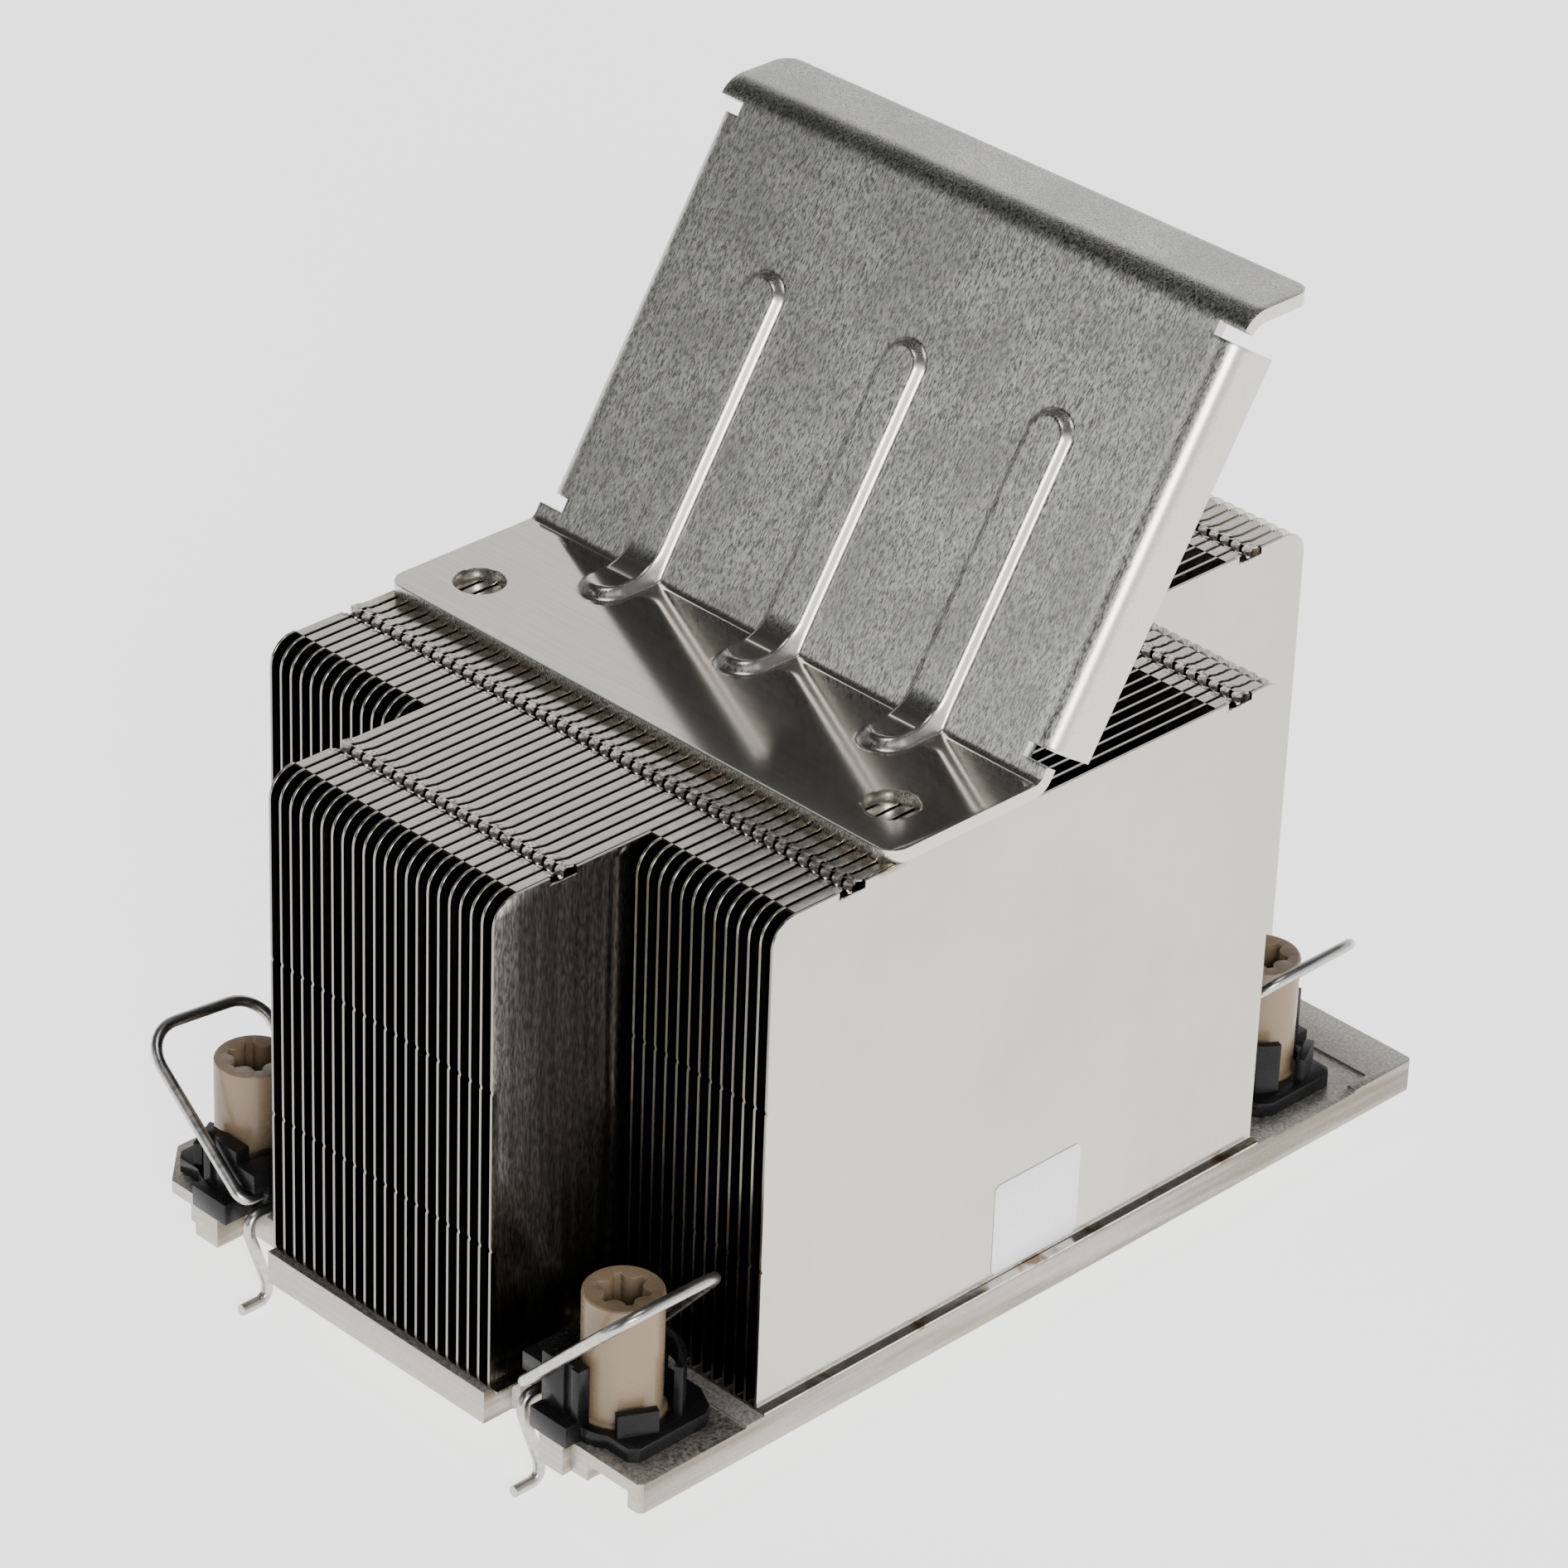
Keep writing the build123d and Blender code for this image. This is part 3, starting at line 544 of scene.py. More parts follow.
# %% One fin, lofted along its length
# Millimetres. Each reach is how far a cut goes before and behind its row. A row without tongues is
# left open, and its cut is longer.
fold_outer = 0.45
fold_inner = 0.15
fin_corner_radius = 3.0
fin_flange_setback = 3.3
notch_reach = (1.1, 0.75)
open_notch_reach = (1.7, 1.9)
notch_drop = 0.8
pull = 0.42
pull_length = 1.7
ripple = 0.09
ripple_length = 0.95
ripple_reach = 3.6
kink_heights = (21.0, 40.0)
kink_depth = 0.16
kink_reach = 0.9
tab_thickness = 0.22


def web_top(y, ends):
    """Height of the web's upper edge, with its two rounded corners."""
    inside = min(y - ends[0], ends[1] - y)
    if inside >= fin_corner_radius:
        return fin_top
    drop = fin_corner_radius - inside
    return fin_top - fin_corner_radius + math.sqrt(max(fin_corner_radius ** 2 - drop ** 2, 0))


def row_shift(y):
    """How far the piercing has pulled the folded edge sideways, behind each row."""
    shift = 0.0
    for row in all_rows:
        behind = y - (row + notch_reach[1])
        if 0 <= behind < pull_length:
            shift -= pull * smooth(1 - behind / pull_length)
        if 0 <= behind < ripple_reach and row in side_rows:
            shift += ripple * math.sin(2 * math.pi * behind / ripple_length) * (1 - behind / ripple_reach)
    return shift


def fin_ring(y, ends, folded, cut):
    """Closed cross-section of a fin at one station, always with the same number of points."""
    half_sheet = fin_thickness / 2
    top = web_top(y, ends) - (notch_drop if cut else 0)
    shift = row_shift(y)
    arc = [math.radians(180 - 22.5 * step) for step in range(5)]
    if folded:
        centre = (-half_sheet + fold_outer, top - fold_outer)
        outer = [(centre[0] + fold_outer * math.cos(a) + shift, centre[1] + fold_outer * math.sin(a)) for a in arc]
        tip = [(flange_width - 0.05 + shift, top), (flange_width + shift, top - 0.05),
               (flange_width + shift, top - fin_thickness + 0.05), (flange_width - 0.05 + shift, top - fin_thickness)]
        inner = [(centre[0] + fold_inner * math.cos(a) + shift, centre[1] + fold_inner * math.sin(a))
                 for a in reversed(arc[::2])]
    else:
        outer = [(-half_sheet, top - 0.06), (-half_sheet + 0.03, top - 0.02), (-half_sheet + 0.08, top),
                 (0.0, top), (0.02, top)]
        tip = [(0.03, top), (0.04, top), (0.05, top), (0.07, top)]
        inner = [(half_sheet - 0.06, top), (half_sheet - 0.02, top - 0.03), (half_sheet, top - 0.08)]
    kink = max(0.0, 1 - (y - ends[0]) / kink_reach) * kink_depth
    left, right_side = [], []
    for height in kink_heights:
        for step, amount in ((-0.35, 0), (0, 1), (0.35, 0)):
            left.append((-half_sheet + kink * amount, height + step))
            right_side.append((half_sheet + kink * amount, height + step))
    foot = [(half_sheet, plate_top + fold_outer + 0.3), (half_sheet + 0.12, plate_top + 0.42),
            (half_sheet + 0.3, plate_top + fin_thickness), (flange_width, plate_top + fin_thickness),
            (flange_width, plate_top)]
    ring = [(-half_sheet, plate_top), *left, (-half_sheet, min(fin_top - 1.9, top - 0.5)), *outer, *tip, *inner,
            (half_sheet, min(fin_top - 1.9, top - 0.5)), *reversed(right_side), *foot]
    return [(x, y, z) for x, z in ring]


# %% Stations along a fin
def fin_stations(ends, zones, rows, tongue_rows):
    """Places along the fin where its cross-section is drawn, as (y, folded, cut)."""
    reach = {row: notch_reach if row in tongue_rows else open_notch_reach for row in rows}

    def state(y):
        cut = any(row - reach[row][0] < y < row + reach[row][1] for row in rows)
        return any(low < y < high for low, high in zones) and not cut, cut
    marks = {ends[0], ends[0] + kink_reach / 2, ends[0] + kink_reach, ends[1]}
    for step in range(1, 8):
        drop = fin_corner_radius * (1 - math.cos(math.radians(90 * step / 7)))
        marks |= {ends[0] + drop, ends[1] - drop}
    for low, high in zones:
        marks |= {low, high}
    for row in rows:
        marks |= {row - reach[row][0], row + reach[row][1]}
        spread = ripple_reach if row in side_rows else pull_length
        steps = round(spread / 0.24)
        marks |= {row + notch_reach[1] + spread * step / steps for step in range(1, steps + 1)}
    marks = sorted(marks)
    stations = []
    for index, y in enumerate(marks):
        before = state((marks[index - 1] + y) / 2) if index else None
        after = state((y + marks[index + 1]) / 2) if index + 1 < len(marks) else None
        for side in (before, after):
            if side is not None and (not stations or stations[-1] != (y, *side)):
                stations.append((y, *side))
    return stations


print("stations of the outermost fin:", len(fin_stations(side_ends, [], side_rows, [])))


# %% Torn tabs of an interlock, and the whole fin
def tab_strip(shape, row, stations):
    """Closed bent tab of sheet through stations of centre, turn, half width, rise and edge drop."""
    rings = []
    for x, y, turn, width, rise, drop in stations:
        side = (math.cos(math.radians(turn)), math.sin(math.radians(turn)))
        upper = [(x + side[0] * width * t, row + y + side[1] * width * t, fin_top + rise - drop * t * t - 0.003)
                 for t in (-1, -0.5, 0, 0.5, 1)]
        lower = [(px, py, pz - tab_thickness) for px, py, pz in reversed(upper)]
        rings.append([shape.verts.new(point) for point in upper + lower])
    bridge(shape, rings)


hook = [(0.80, 0.85, 0, 0.50, 0.0, 0.0), (0.86, 0.45, 14, 0.50, 0.03, 0.03), (1.06, 0.10, 32, 0.47, 0.05, 0.05),
        (1.40, -0.20, 54, 0.42, 0.03, 0.06), (1.74, -0.40, 63, 0.34, -0.06, 0.05), (1.93, -0.48, 66, 0.18, -0.20, 0.02)]
lip = [(0.92, -1.20, 0, 0.40, 0.0, 0.0), (0.93, -0.95, 0, 0.36, 0.06, 0.03), (0.98, -0.72, 6, 0.24, 0.0, 0.04)]


def fin_mesh(name, ends, zones, rows, tongue_rows):
    """Closed mesh of one fin about x = 0."""
    shape = bmesh.new()
    rings = [[shape.verts.new(point) for point in fin_ring(y, ends, folded, cut)]
             for y, folded, cut in fin_stations(ends, zones, rows, tongue_rows)]
    bridge(shape, rings)
    for row in tongue_rows:
        tab_strip(shape, row, hook)
        tab_strip(shape, row, lip)
    bmesh.ops.remove_doubles(shape, verts=shape.verts, dist=1e-5)
    bmesh.ops.dissolve_degenerate(shape, edges=shape.edges, dist=1e-5)
    bmesh.ops.recalc_face_normals(shape, faces=shape.faces)
    bmesh.ops.scale(shape, vec=(MM, MM, MM), verts=shape.verts)
    mesh = mesh_of(shape, name)
    print(name, len(mesh.polygons), "faces each")
    return mesh


# %% Geometry Nodes trees
def link_all(tree, *pairs):
    """Link each output to its input."""
    for output, target in pairs:
        tree.links.new(output, target)


def new_tree(name, sizes, material):
    """Tree with named inputs that ends in Realize Instances and Set Material; also its entry and its end."""
    tree = bpy.data.node_groups.new(name, "GeometryNodeTree")
    tree.interface.new_socket("Geometry", in_out="INPUT", socket_type="NodeSocketGeometry")
    for label, kind in sizes.items():
        tree.interface.new_socket(label, in_out="INPUT", socket_type=kind)
    tree.interface.new_socket("Geometry", in_out="OUTPUT", socket_type="NodeSocketGeometry")
    entry = tree.nodes.new("NodeGroupInput")
    result = tree.nodes.new("NodeGroupOutput")
    real = tree.nodes.new("GeometryNodeRealizeInstances")
    paint = tree.nodes.new("GeometryNodeSetMaterial")
    paint.inputs["Material"].default_value = material
    link_all(tree, (real.outputs["Geometry"], paint.inputs["Geometry"]),
             (paint.outputs["Geometry"], result.inputs["Geometry"]))
    return tree, entry.outputs, real.inputs["Geometry"]


def repeat_tree(name, material):
    """Tree that repeats its geometry in a row: how many, from where, how far apart."""
    sizes = {"Count": "NodeSocketInt", "First": "NodeSocketVector", "Pitch": "NodeSocketVector"}
    tree, entry, end = new_tree(name, sizes, material)
    line = tree.nodes.new("GeometryNodeMeshLine")
    repeat = tree.nodes.new("GeometryNodeInstanceOnPoints")
    link_all(tree, (entry["Count"], line.inputs["Count"]), (entry["First"], line.inputs["Start Location"]),
             (entry["Pitch"], line.inputs["Offset"]), (line.outputs["Mesh"], repeat.inputs["Points"]),
             (entry["Geometry"], repeat.inputs["Instance"]), (repeat.outputs["Instances"], end))
    return tree


def set_inputs(modifier, **values):
    """Set a Geometry Nodes modifier's named inputs through their identifiers."""
    for item in modifier.node_group.interface.items_tree:
        if item.in_out == "INPUT" and item.name in values:
            modifier[item.identifier] = values[item.name]


row_tree = repeat_tree("fin_row", fin_material)
print("tree:", row_tree.name)


# %% Rows of fins
def fin_row(name, mesh, first_index, count):
    """Row of equal fins, counted from the left of the stack."""
    piece = link_object(name, mesh)
    modifier = piece.modifiers.new("fin_row", "NODES")
    modifier.node_group = row_tree
    set_inputs(modifier, Count=count, First=((first_fin_x + fin_pitch * first_index) * MM, 0.0, 0.0),
               Pitch=(fin_pitch * MM, 0.0, 0.0))
    return bake(piece)


def joined(name, pieces):
    """One mesh from several plain pieces."""
    mesh = mesh_of(shape_of(*pieces), name)
    for piece in pieces:
        bpy.data.objects.remove(piece)
    return link_object(name, mesh)


def numbered(stem, count):
    """Names of the CAD nodes of one group of fins."""
    return [f"{stem}_{number:02d}" for number in range(1, count + 1)]


front_flange_end = -6.0
rear_flange_start = 22.5
far_flange_start = 47.0
side_zones = [(side_ends[0] + fin_flange_setback, front_flange_end),
              (rear_flange_start, side_ends[1] - fin_flange_setback)]
centre_zones = [(centre_ends[0] + fin_flange_setback, front_flange_end), side_zones[1],
                (far_flange_start, centre_ends[1] - fin_flange_setback)]
side_fin = fin_mesh("side_fin", side_ends, side_zones, side_rows, side_rows)
centre_fin = fin_mesh("centre_fin", centre_ends, centre_zones, all_rows, all_rows)
last_fin = fin_mesh("centre_last_fin", centre_ends, side_zones, all_rows, side_rows)
outer_fin = fin_mesh("outer_fin", side_ends, [], side_rows, [])

settle(fin_row("left_fins", side_fin, 0, 13), fin_material, "heatsink", numbered("fin_left", 13))
settle(joined("centre_fins", [fin_row("centre_row", centre_fin, 13, 21), fin_row("centre_end", last_fin, 34, 1)]),
       fin_material, "heatsink", numbered("fins_centre", 11))
settle(joined("right_fins", [fin_row("right_row", side_fin, 35, 12), fin_row("right_end", outer_fin, 47, 1)]),
       fin_material, "heatsink", numbered("fin_right", 13))

# %% [markdown]
# ## Bracket
# The bracket is one sheet: base, leaning panel, top flange and two wings folded back. A grid of points
# follows the fold, and near each rib the points slide towards a second, raised fold line with a wider
# bend. Solidify gives the thickness, so the ribs are hollow behind, as pressed ribs are.

# %% Fold lines of the bracket
bracket_thickness = 1.5
bracket_half_width = 37.8
bracket_rise = 43.7
bracket_top_flange = 9.1
bend_radius = 1.1
top_bend_radius = 3.9
line_spacing = 0.4
rib_spacing = 21.0
rib_half_width = 3.1
rib_height = 1.1
rib_start = -12.4
rib_reach = 35.0
rib_radius = 5.2
rib_ramp = 1.1
rib_end_zone = (30.8, 35.4)
wing_start, wing_end = 3.2, 48.5
wing_depth = 6.3
wing_radius = 3.0
wing_round_steps, wing_flat_steps = 8, 4
fold_margin = 3.4
relief_width = 1.0
hole_x, hole_y, hole_radius = 30.8, -18.5, 2.9
rib_columns, hole_columns, least_gap = 0.22, 0.4, 0.17
wide_columns = 26
front_corner_radius, top_corner_radius = 2.5, 2.0
lean = math.radians(bracket_lean)
bracket_top = fin_top + bracket_thickness
panel_length = bracket_rise / math.cos(lean)
along_panel = Vector((0, math.sin(lean), math.cos(lean)))
off_panel = Vector((0, -math.cos(lean), math.sin(lean)))
bend_corner = Vector((0, bracket_bend_y, bracket_top))
top_corner = bend_corner + along_panel * panel_length


def bent(corners, radii, spacing):
    """Points along the polyline with its two corners rounded."""
    points = [corners[0]]

    def run_to(end):
        origin = points[-1].copy()
        steps = max(1, round((end - origin).length / spacing))
        points.extend(origin.lerp(end, step / steps) for step in range(1, steps + 1))
    for index, radius in enumerate(radii):
        arc = bend_points(*corners[index:index + 3], radius, 10)
        run_to(arc[0])
        points.extend(arc[1:])
    run_to(corners[-1])
    return points


sheet_corners = [Vector((0, bracket_front, bend_corner.z)), bend_corner, top_corner,
                 Vector((0, top_corner.y + bracket_top_flange, top_corner.z))]
coarse_line = bent(sheet_corners, (bend_radius, top_bend_radius), line_spacing)
flat_line = []
for point, after in zip(coarse_line, coarse_line[1:] + coarse_line[-1:]):
    along = (point - bend_corner).dot(along_panel)
    at_rib_end = rib_end_zone[0] < along < rib_end_zone[1] and point.z > bracket_top + 1
    flat_line += [point.lerp(after, step / 3) for step in range(3)] if at_rib_end else [point]
print("bracket fold line:", len(flat_line), "points")


# %% Points of the sheet
half_turn = (math.pi / 2 - lean) / 2
settle_length = 4.5
rib_corner = bend_corner + Vector((0, -rib_height * math.tan(half_turn), rib_height))
arriving, leaving = Vector((0, 1, 0)), along_panel
inward = (leaving - arriving).normalized()
onward = (leaving + arriving).normalized()
lost_length = (rib_radius - bend_radius) * (math.tan(half_turn) - half_turn) + rib_height * math.tan(half_turn)


def unbent(point):
    """Length along the sheet from the middle of its lower bend, negative on the base."""
    tangent_reach = bend_radius * math.tan(half_turn)
    middle = bend_corner + inward * (bend_radius / math.cos(half_turn))
    if point.y < bend_corner.y - tangent_reach:
        return point.y - (bend_corner.y - tangent_reach) - bend_radius * half_turn
    along = (point - bend_corner).dot(along_panel)
    if along > tangent_reach:
        return along - tangent_reach + bend_radius * half_turn
    spoke = point - middle
    return bend_radius * math.atan2(spoke.dot(onward), -spoke.dot(inward))


def project_rib(point):
    """Raised place above a point of the sheet, on the rib's own fold line with its wide bend."""
    length = unbent(point)
    length -= math.copysign(lost_length * smooth(min(abs(length) / settle_length, 1.0)), length)
    if abs(length) <= rib_radius * half_turn:
        angle = length / rib_radius
        middle = rib_corner + inward * (rib_radius / math.cos(half_turn))
        return middle + (onward * math.sin(angle) - inward * math.cos(angle)) * rib_radius
    beyond = abs(length) - rib_radius * half_turn + rib_radius * math.tan(half_turn)
    return rib_corner + (along_panel * beyond if length > 0 else -arriving * beyond)


def rib_weight(x, point):
    """How far a point belongs to a rib: 1 on its crest, 0 outside its rounded outline."""
    away = min(abs(x - centre) for centre in (-rib_spacing, 0, rib_spacing))
    along = (point - bend_corner).dot(along_panel)
    if point.z <= bracket_top + 0.01:
        beyond = max(0.0, (rib_start + rib_half_width) - point.y)
    else:
        beyond = max(0.0, along - (rib_reach - rib_half_width))
    distance = math.hypot(away, beyond)
    return smooth(min(max((rib_half_width - distance) / rib_ramp, 0.0), 1.0))


def sheet_columns():
    """Places across the sheet: fine over the ribs and the holes, wide between them."""
    marks = set()
    for centre in (-rib_spacing, 0, rib_spacing):
        marks |= {round(centre + step * rib_columns, 3) for step in range(-15, 16)}
    for side in (-1, 1):
        marks |= {round(side * hole_x + step * hole_columns, 3) for step in range(-9, 10)}
    edge = bracket_half_width
    marks |= {-edge, edge, -edge + fold_margin, edge - fold_margin}
    span = edge - fold_margin
    marks |= {round(-span + 2 * span * step / wide_columns, 3) for step in range(wide_columns + 1)}
    ordered = sorted(marks)
    kept = [ordered[0]]
    for mark in ordered[1:]:
        if mark - kept[-1] > least_gap:
            kept.append(mark)
    return kept


columns = sheet_columns()
print("bracket columns:", len(columns))


# %% Skin of the bracket
def wing_offset(step):
    """Offset of a wing's point from the panel's edge, across and backwards, by fold step."""
    if step <= wing_round_steps:
        turn = math.radians(90 * step / wing_round_steps)
        return (-wing_radius + wing_radius * math.sin(turn), wing_radius * (1 - math.cos(turn)))
    return (0.0, wing_radius + (wing_depth - wing_radius) * (step - wing_round_steps) / wing_flat_steps)


def bracket_mesh():
    """Upper skin of the bracket as a grid, with reliefs left open, before it gets its thickness."""
    shape = bmesh.new()
    edge = bracket_half_width
    inner_columns = [x for x in columns if abs(x) <= edge - fold_margin + 1e-6]
    skin = []
    for point in flat_line:
        row = []
        for x in inner_columns:
            weight = rib_weight(x, point)
            place = point.lerp(project_rib(point), weight) if weight > 0 else point
            row.append(shape.verts.new((x, place.y, place.z)))
        skin.append(row)
    for first, second in zip(skin, skin[1:]):
        for index in range(len(inner_columns) - 1):
            shape.faces.new((first[index], first[index + 1], second[index + 1], second[index]))
    for side, column in ((-1, 0), (1, len(inner_columns) - 1)):
        previous = None
        for row, point in zip(skin, flat_line):
            along = (point - bend_corner).dot(along_panel)
            on_sheet = bracket_top + 0.3 < point.z < top_corner.z - 0.9
            is_wing = on_sheet and wing_start <= along <= wing_end
            is_relief = on_sheet and (wing_start - relief_width < along < wing_start
                                      or wing_end < along < wing_end + relief_width)
            if is_relief:
                previous = None
                continue
            strip = [row[column]]
            if is_wing:
                for step in range(wing_round_steps + wing_flat_steps + 1):
                    across, behind = wing_offset(step)
                    place = point - off_panel * behind
                    strip.append(shape.verts.new((side * (edge + across), place.y, place.z)))
            else:
                strip += [shape.verts.new((side * (edge - fold_margin * (1 - step / 4)), point.y, point.z))
                          for step in range(1, 5)]
            if previous is not None and len(previous) == len(strip):
                for index in range(len(strip) - 1):
                    corners = (previous[index], previous[index + 1], strip[index + 1], strip[index])
                    shape.faces.new(corners if side > 0 else tuple(reversed(corners)))
            previous = strip
    bmesh.ops.remove_doubles(shape, verts=shape.verts, dist=1e-4)
    bmesh.ops.scale(shape, vec=(MM, MM, MM), verts=shape.verts)
    shape.normal_update()
    return mesh_of(shape, "bracket_sheet")


bracket_piece = link_object("bracket_sheet", bracket_mesh())
print("bracket skin:", len(bracket_piece.data.polygons), "faces")


# %% Cutters for the holes and the rounded corners
def prism(shape, outline, low, high):
    """Closed upright prism in millimetres, added to a bmesh."""
    bridge(shape, [[shape.verts.new((x * MM, y * MM, z * MM)) for x, y in outline] for z in (low, high)])


def on_circle(centre, radius, degrees, flip=(1, 1)):
    """Points on a circle at the given angles, mirrored by flip."""
    return [(centre[0] + flip[0] * radius * math.cos(math.radians(angle)),
             centre[1] + flip[1] * radius * math.sin(math.radians(angle))) for angle in degrees]


def corner_cutter(x, y, radius, low, high, shape):
    """Prism outside a rounded corner whose sharp corner is at (x, y)."""
    sx, sy = (1 if x > 0 else -1), (1 if y > bracket_bend_y else -1)
    arc = on_circle((x - sx * radius, y - sy * radius), radius, range(0, 91, 10), (sx, sy))
    prism(shape, arc + [(x - sx * radius, y + sy), (x + sx, y + sy), (x + sx, y - sy * radius)], low, high)


def bracket_cutters():
    """Two holes and four corner prisms, as one mesh."""
    shape = bmesh.new()
    for side in (-1, 1):
        prism(shape, on_circle((side * hole_x, hole_y), hole_radius, range(0, 360, 6)), fin_top - 3, bracket_top + 3)
        corner_cutter(side * bracket_half_width, bracket_front, front_corner_radius,
                      fin_top - 3, bracket_top + 3, shape)
        corner_cutter(side * bracket_half_width, top_corner.y + bracket_top_flange, top_corner_radius,
                      top_corner.z - 4, top_corner.z + 3, shape)
    bmesh.ops.recalc_face_normals(shape, faces=shape.faces)
    return link_object("bracket_cutters", mesh_of(shape, "bracket_cutters"))


cutters = bracket_cutters()
print("bracket cutters:", len(cutters.data.polygons), "faces")

# %% Build the bracket
thickness = bracket_piece.modifiers.new("thickness", "SOLIDIFY")
thickness.thickness = bracket_thickness * MM
thickness.offset = -1
thickness.use_even_offset = True
bake(bracket_piece)
cut = bracket_piece.modifiers.new("cut", "BOOLEAN")
cut.object = cutters
cut.solver = "EXACT"
soften(bracket_piece, 0.14, 55)
bake(bracket_piece)
bpy.data.objects.remove(cutters)
settle(bracket_piece, bracket_material, "heatsink", ["bracket"], smooth_angle=50)

# %% [markdown]
# ## Captive nuts
# Each nut is a turned and moulded shape: rim, barrel and a six-lobe driver socket. It is lofted from
# rings of points whose radius may change with the angle, which makes the round barrel and the lobed
# socket with one rule.

# %% Nuts
nut_points = 96
socket_offset, socket_bulge, socket_tip = 3.1, 1.12, 2.8
# Millimetres: radius, height over the foot, and how much wider than the socket. A radius of None follows the socket.
nut_profile = [(2.0, 8.0, 0), (2.0, 0.2, 0), (2.15, 0.0, 0), (4.65, 0.0, 0), (4.8, 0.12, 0), (4.8, 1.0, 0),
               (4.72, 1.12, 0), (4.36, 1.45, 0), (4.3, 1.6, 0), (4.3, 15.15, 0), (4.24, 15.36, 0), (4.05, 15.5, 0),
               (None, 15.5, 0.28), (None, 15.42, 0.08), (None, 15.2, 0.0), (None, 9.6, 0.0), (None, 9.5, -0.15)]


def lobed(angle):
    """Radius of the driver socket at an angle: six bulges that point inwards."""
    local = (angle + math.pi / 6) % (math.pi / 3) - math.pi / 6
    across = socket_offset * math.sin(local)
    if abs(across) >= socket_bulge:
        return socket_tip
    return min(socket_tip, socket_offset * math.cos(local) - math.sqrt(socket_bulge ** 2 - across ** 2))


def nut_mesh(name, x, y, bottom):
    """Closed mesh of one nut about its axis."""
    shape = bmesh.new()
    angles = [2 * math.pi * index / nut_points for index in range(nut_points)]
    loops = []
    for radius, height, wider in nut_profile:
        reaches = [(lobed(angle) + wider) if radius is None else radius for angle in angles]
        loops.append([shape.verts.new(((x + reach * math.cos(angle)) * MM, (y + reach * math.sin(angle)) * MM,
                                       (bottom + height) * MM)) for reach, angle in zip(reaches, angles)])
    bridge(shape, loops)
    bmesh.ops.recalc_face_normals(shape, faces=shape.faces)
    return mesh_of(shape, name)


corners = {"front_left": (-1, -1), "front_right": (1, -1), "rear_left": (-1, 1), "rear_right": (1, 1)}
nut_places = {}
for corner in corners:
    low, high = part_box(f"nut_{corner}")
    centre = (low + high) / 2 / MM
    nut_places[corner] = (centre.x, centre.y)
    name = f"captive_nut_{corner}"
    settle(link_object(name, nut_mesh(name, centre.x, centre.y, low.z / MM)),
           nut_material, f"nut_{corner}", [f"nut_{corner}"], smooth_angle=30)

# %% [markdown]
# ## Wire bails
# A bail is one length of round wire: a short stub, an arm, the lifting bar, a second arm, the pivot length
# inside the retainer, and a hook. The route is a list of corners with a bend radius at each, and Geometry
# Nodes sweep a circle along it.

# %% Route of the wire
wire_radius = 0.65
wire_sides = 20
pivot_offset_u = 7.2
pivot_z = 5.2
bail_angle = math.radians(46.0)
bail_rest_turns = {"front_left": -3.0, "front_right": 3.0, "rear_left": 0.0, "rear_right": 2.0}
# Corners of the wire about its pivot, outwards (u), to the near end (v) and up. The arms lean by bail_angle.
near_v, far_v = 7.5, -7.6
near_arm, far_arm = 22.8, 21.5
stub_length = 2.4
arms = [(length * math.cos(bail_angle), v, length * math.sin(bail_angle))
        for length, v in ((near_arm, near_v), (far_arm, far_v))]
bail_corners = [(0.2, near_v - stub_length, 2.1), (0.2, near_v, 2.1), *arms, (0, far_v, 0), (0, 7.0, 0), (0, 7.0, -2.2),
                (0, 5.0, -8.6), (0, 5.0, -10.8), (0, 8.6, -10.8)]
bail_radii = [1.3, 4.0, 4.0, 1.3, 1.3, 1.3, 1.6, 1.3]


def bail_route(corner):
    """The wire's line at one corner of the plate, in millimetres."""
    side, end = corners[corner]
    x, y = nut_places[corner]
    turn = Matrix.Rotation(math.radians(-bail_rest_turns[corner]), 3, "Y")
    points = []
    for u, v, rise in bail_corners:
        turned = turn @ Vector((u, 0, rise))
        points.append(Vector((x + side * (turned.x - pivot_offset_u), y + end * v, pivot_z + turned.z)))
    route = [points[0]]
    for index, radius in enumerate(bail_radii):
        route += bend_points(*points[index:index + 3], radius, 8)
    return route + [points[-1]]


print("points of one wire:", len(bail_route("front_left")))


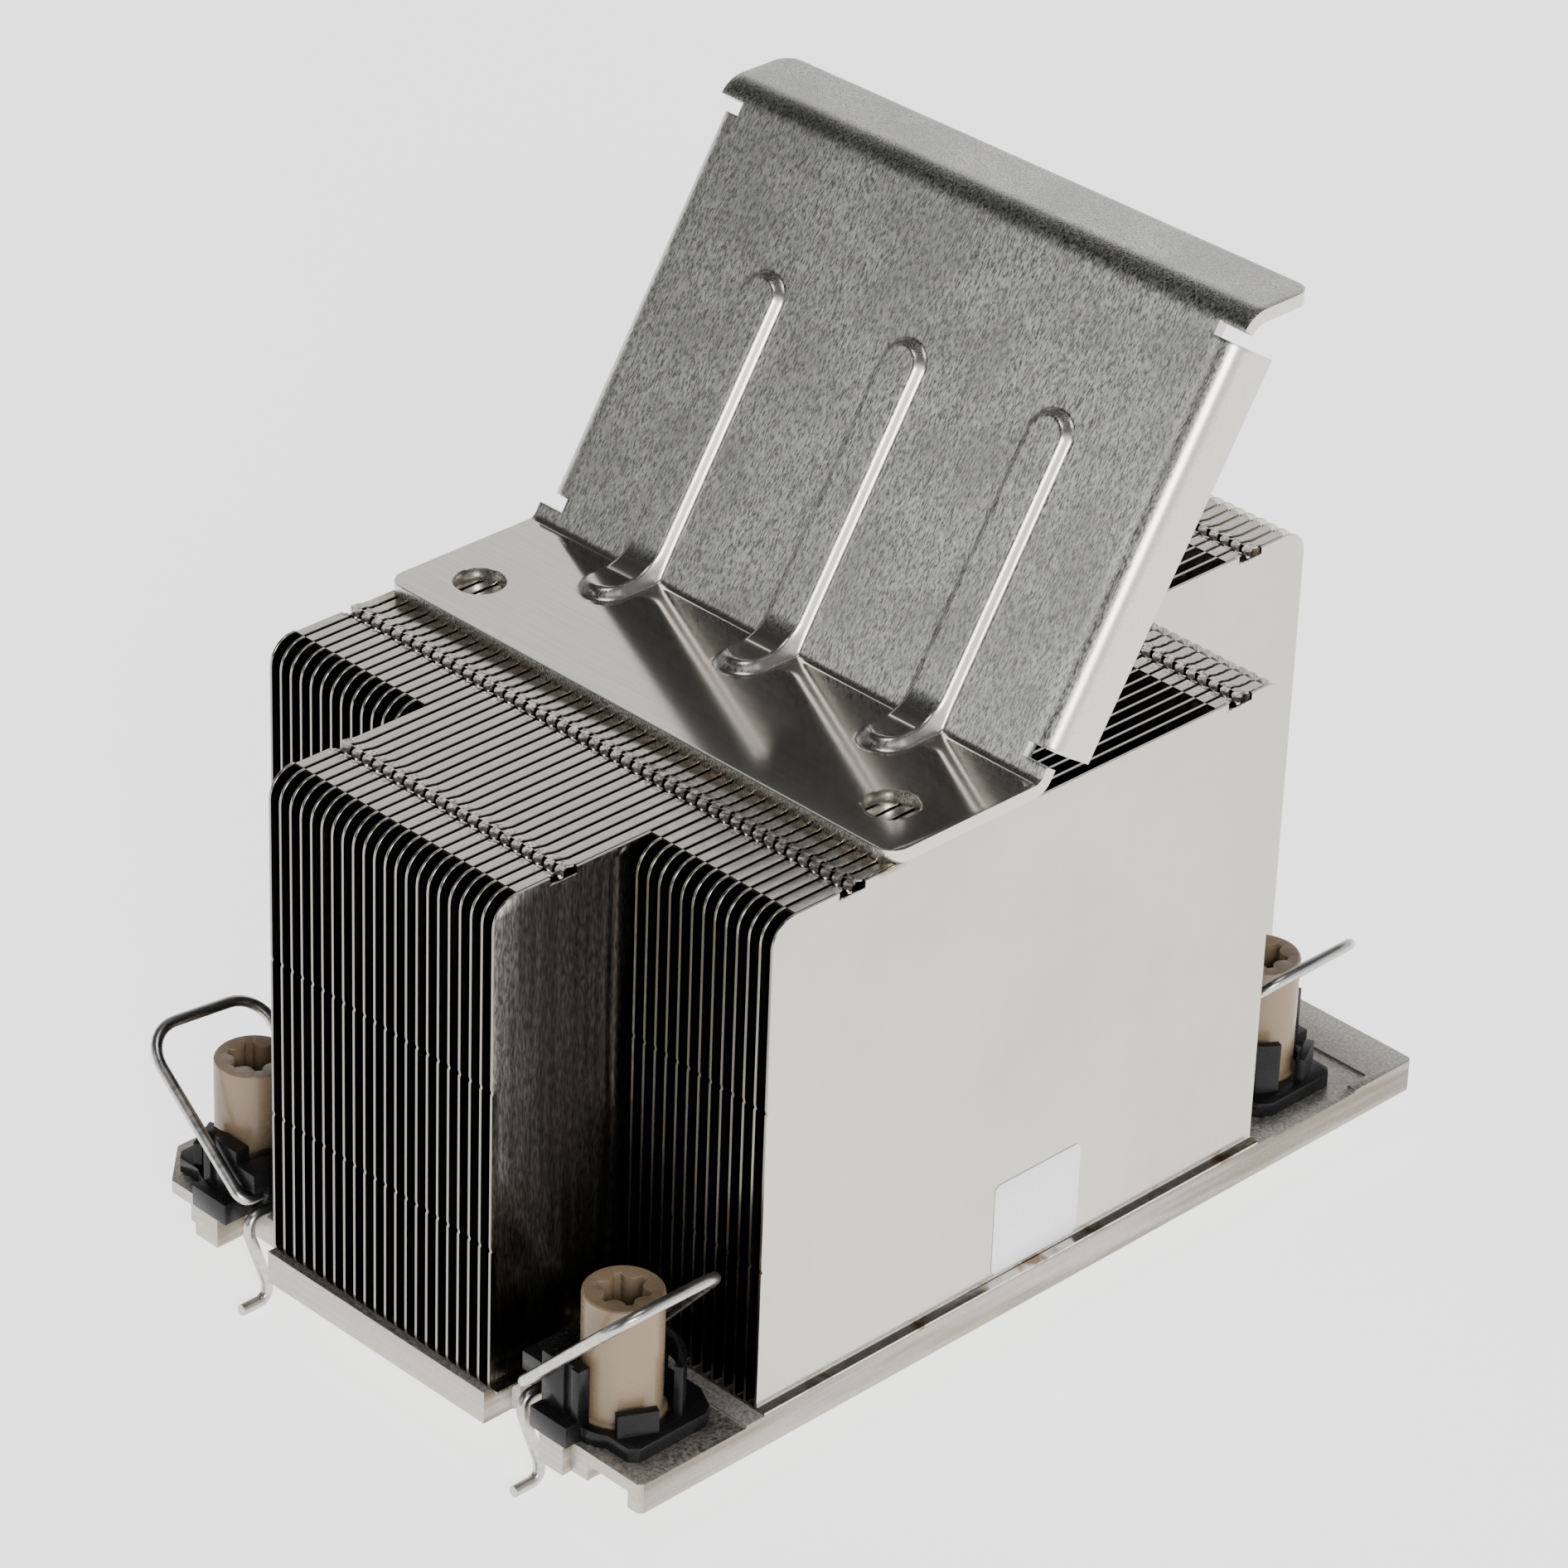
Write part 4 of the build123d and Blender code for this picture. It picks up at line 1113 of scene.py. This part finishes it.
# %% Sweep the wire along its route
def sweep_tree(name, material):
    """Tree that sweeps a circle along a line of points."""
    tree, entry, end = new_tree(name, {"Radius": "NodeSocketFloat", "Sides": "NodeSocketInt"}, material)
    curve = tree.nodes.new("GeometryNodeMeshToCurve")
    circle = tree.nodes.new("GeometryNodeCurvePrimitiveCircle")
    sweep = tree.nodes.new("GeometryNodeCurveToMesh")
    sweep.inputs["Fill Caps"].default_value = True
    link_all(tree, (entry["Geometry"], curve.inputs["Mesh"]), (entry["Radius"], circle.inputs["Radius"]),
             (entry["Sides"], circle.inputs["Resolution"]), (curve.outputs["Curve"], sweep.inputs["Curve"]),
             (circle.outputs["Curve"], sweep.inputs["Profile Curve"]), (sweep.outputs["Mesh"], end))
    return tree


wire_tree = sweep_tree("wire_sweep", wire_material)
for corner in corners:
    route = bail_route(corner)
    line = bpy.data.meshes.new("wire_line")
    line.from_pydata([tuple(point * MM) for point in route], [(i, i + 1) for i in range(len(route) - 1)], [])
    wire = link_object(f"wire_bail_{corner}", line)
    modifier = wire.modifiers.new("wire", "NODES")
    modifier.node_group = wire_tree
    set_inputs(modifier, Radius=wire_radius * MM, Sides=wire_sides)
    shape = shape_of(bake(wire))
    bmesh.ops.remove_doubles(shape, verts=shape.verts, dist=1e-7)
    bmesh.ops.recalc_face_normals(shape, faces=shape.faces)
    wire.data = mesh_of(shape, wire.name)
    settle(wire, wire_material, f"bail_{corner}", [f"bail_{corner}"])

# %% [markdown]
# ## Retainers, plate and label
# These shapes are right in the CAD model, and only their edges are too sharp: no moulded or machined
# edge is a perfect corner. A merged copy with a small bevel keeps the shape and gives each edge its
# thin highlight.

# %% Retainers
for corner in corners:
    settle(softened_copy(f"retainer_{corner}", f"moulded_retainer_{corner}", 0.16), black_material,
           "heatsink", [f"retainer_{corner}"])

# %% Plate and label
settle(softened_copy("base_plate", "milled_plate", 0.14), plate_material, "heatsink", ["base_plate"])
settle(softened_copy("label", "blank_label", 0.03), label_material, "heatsink", ["label"])
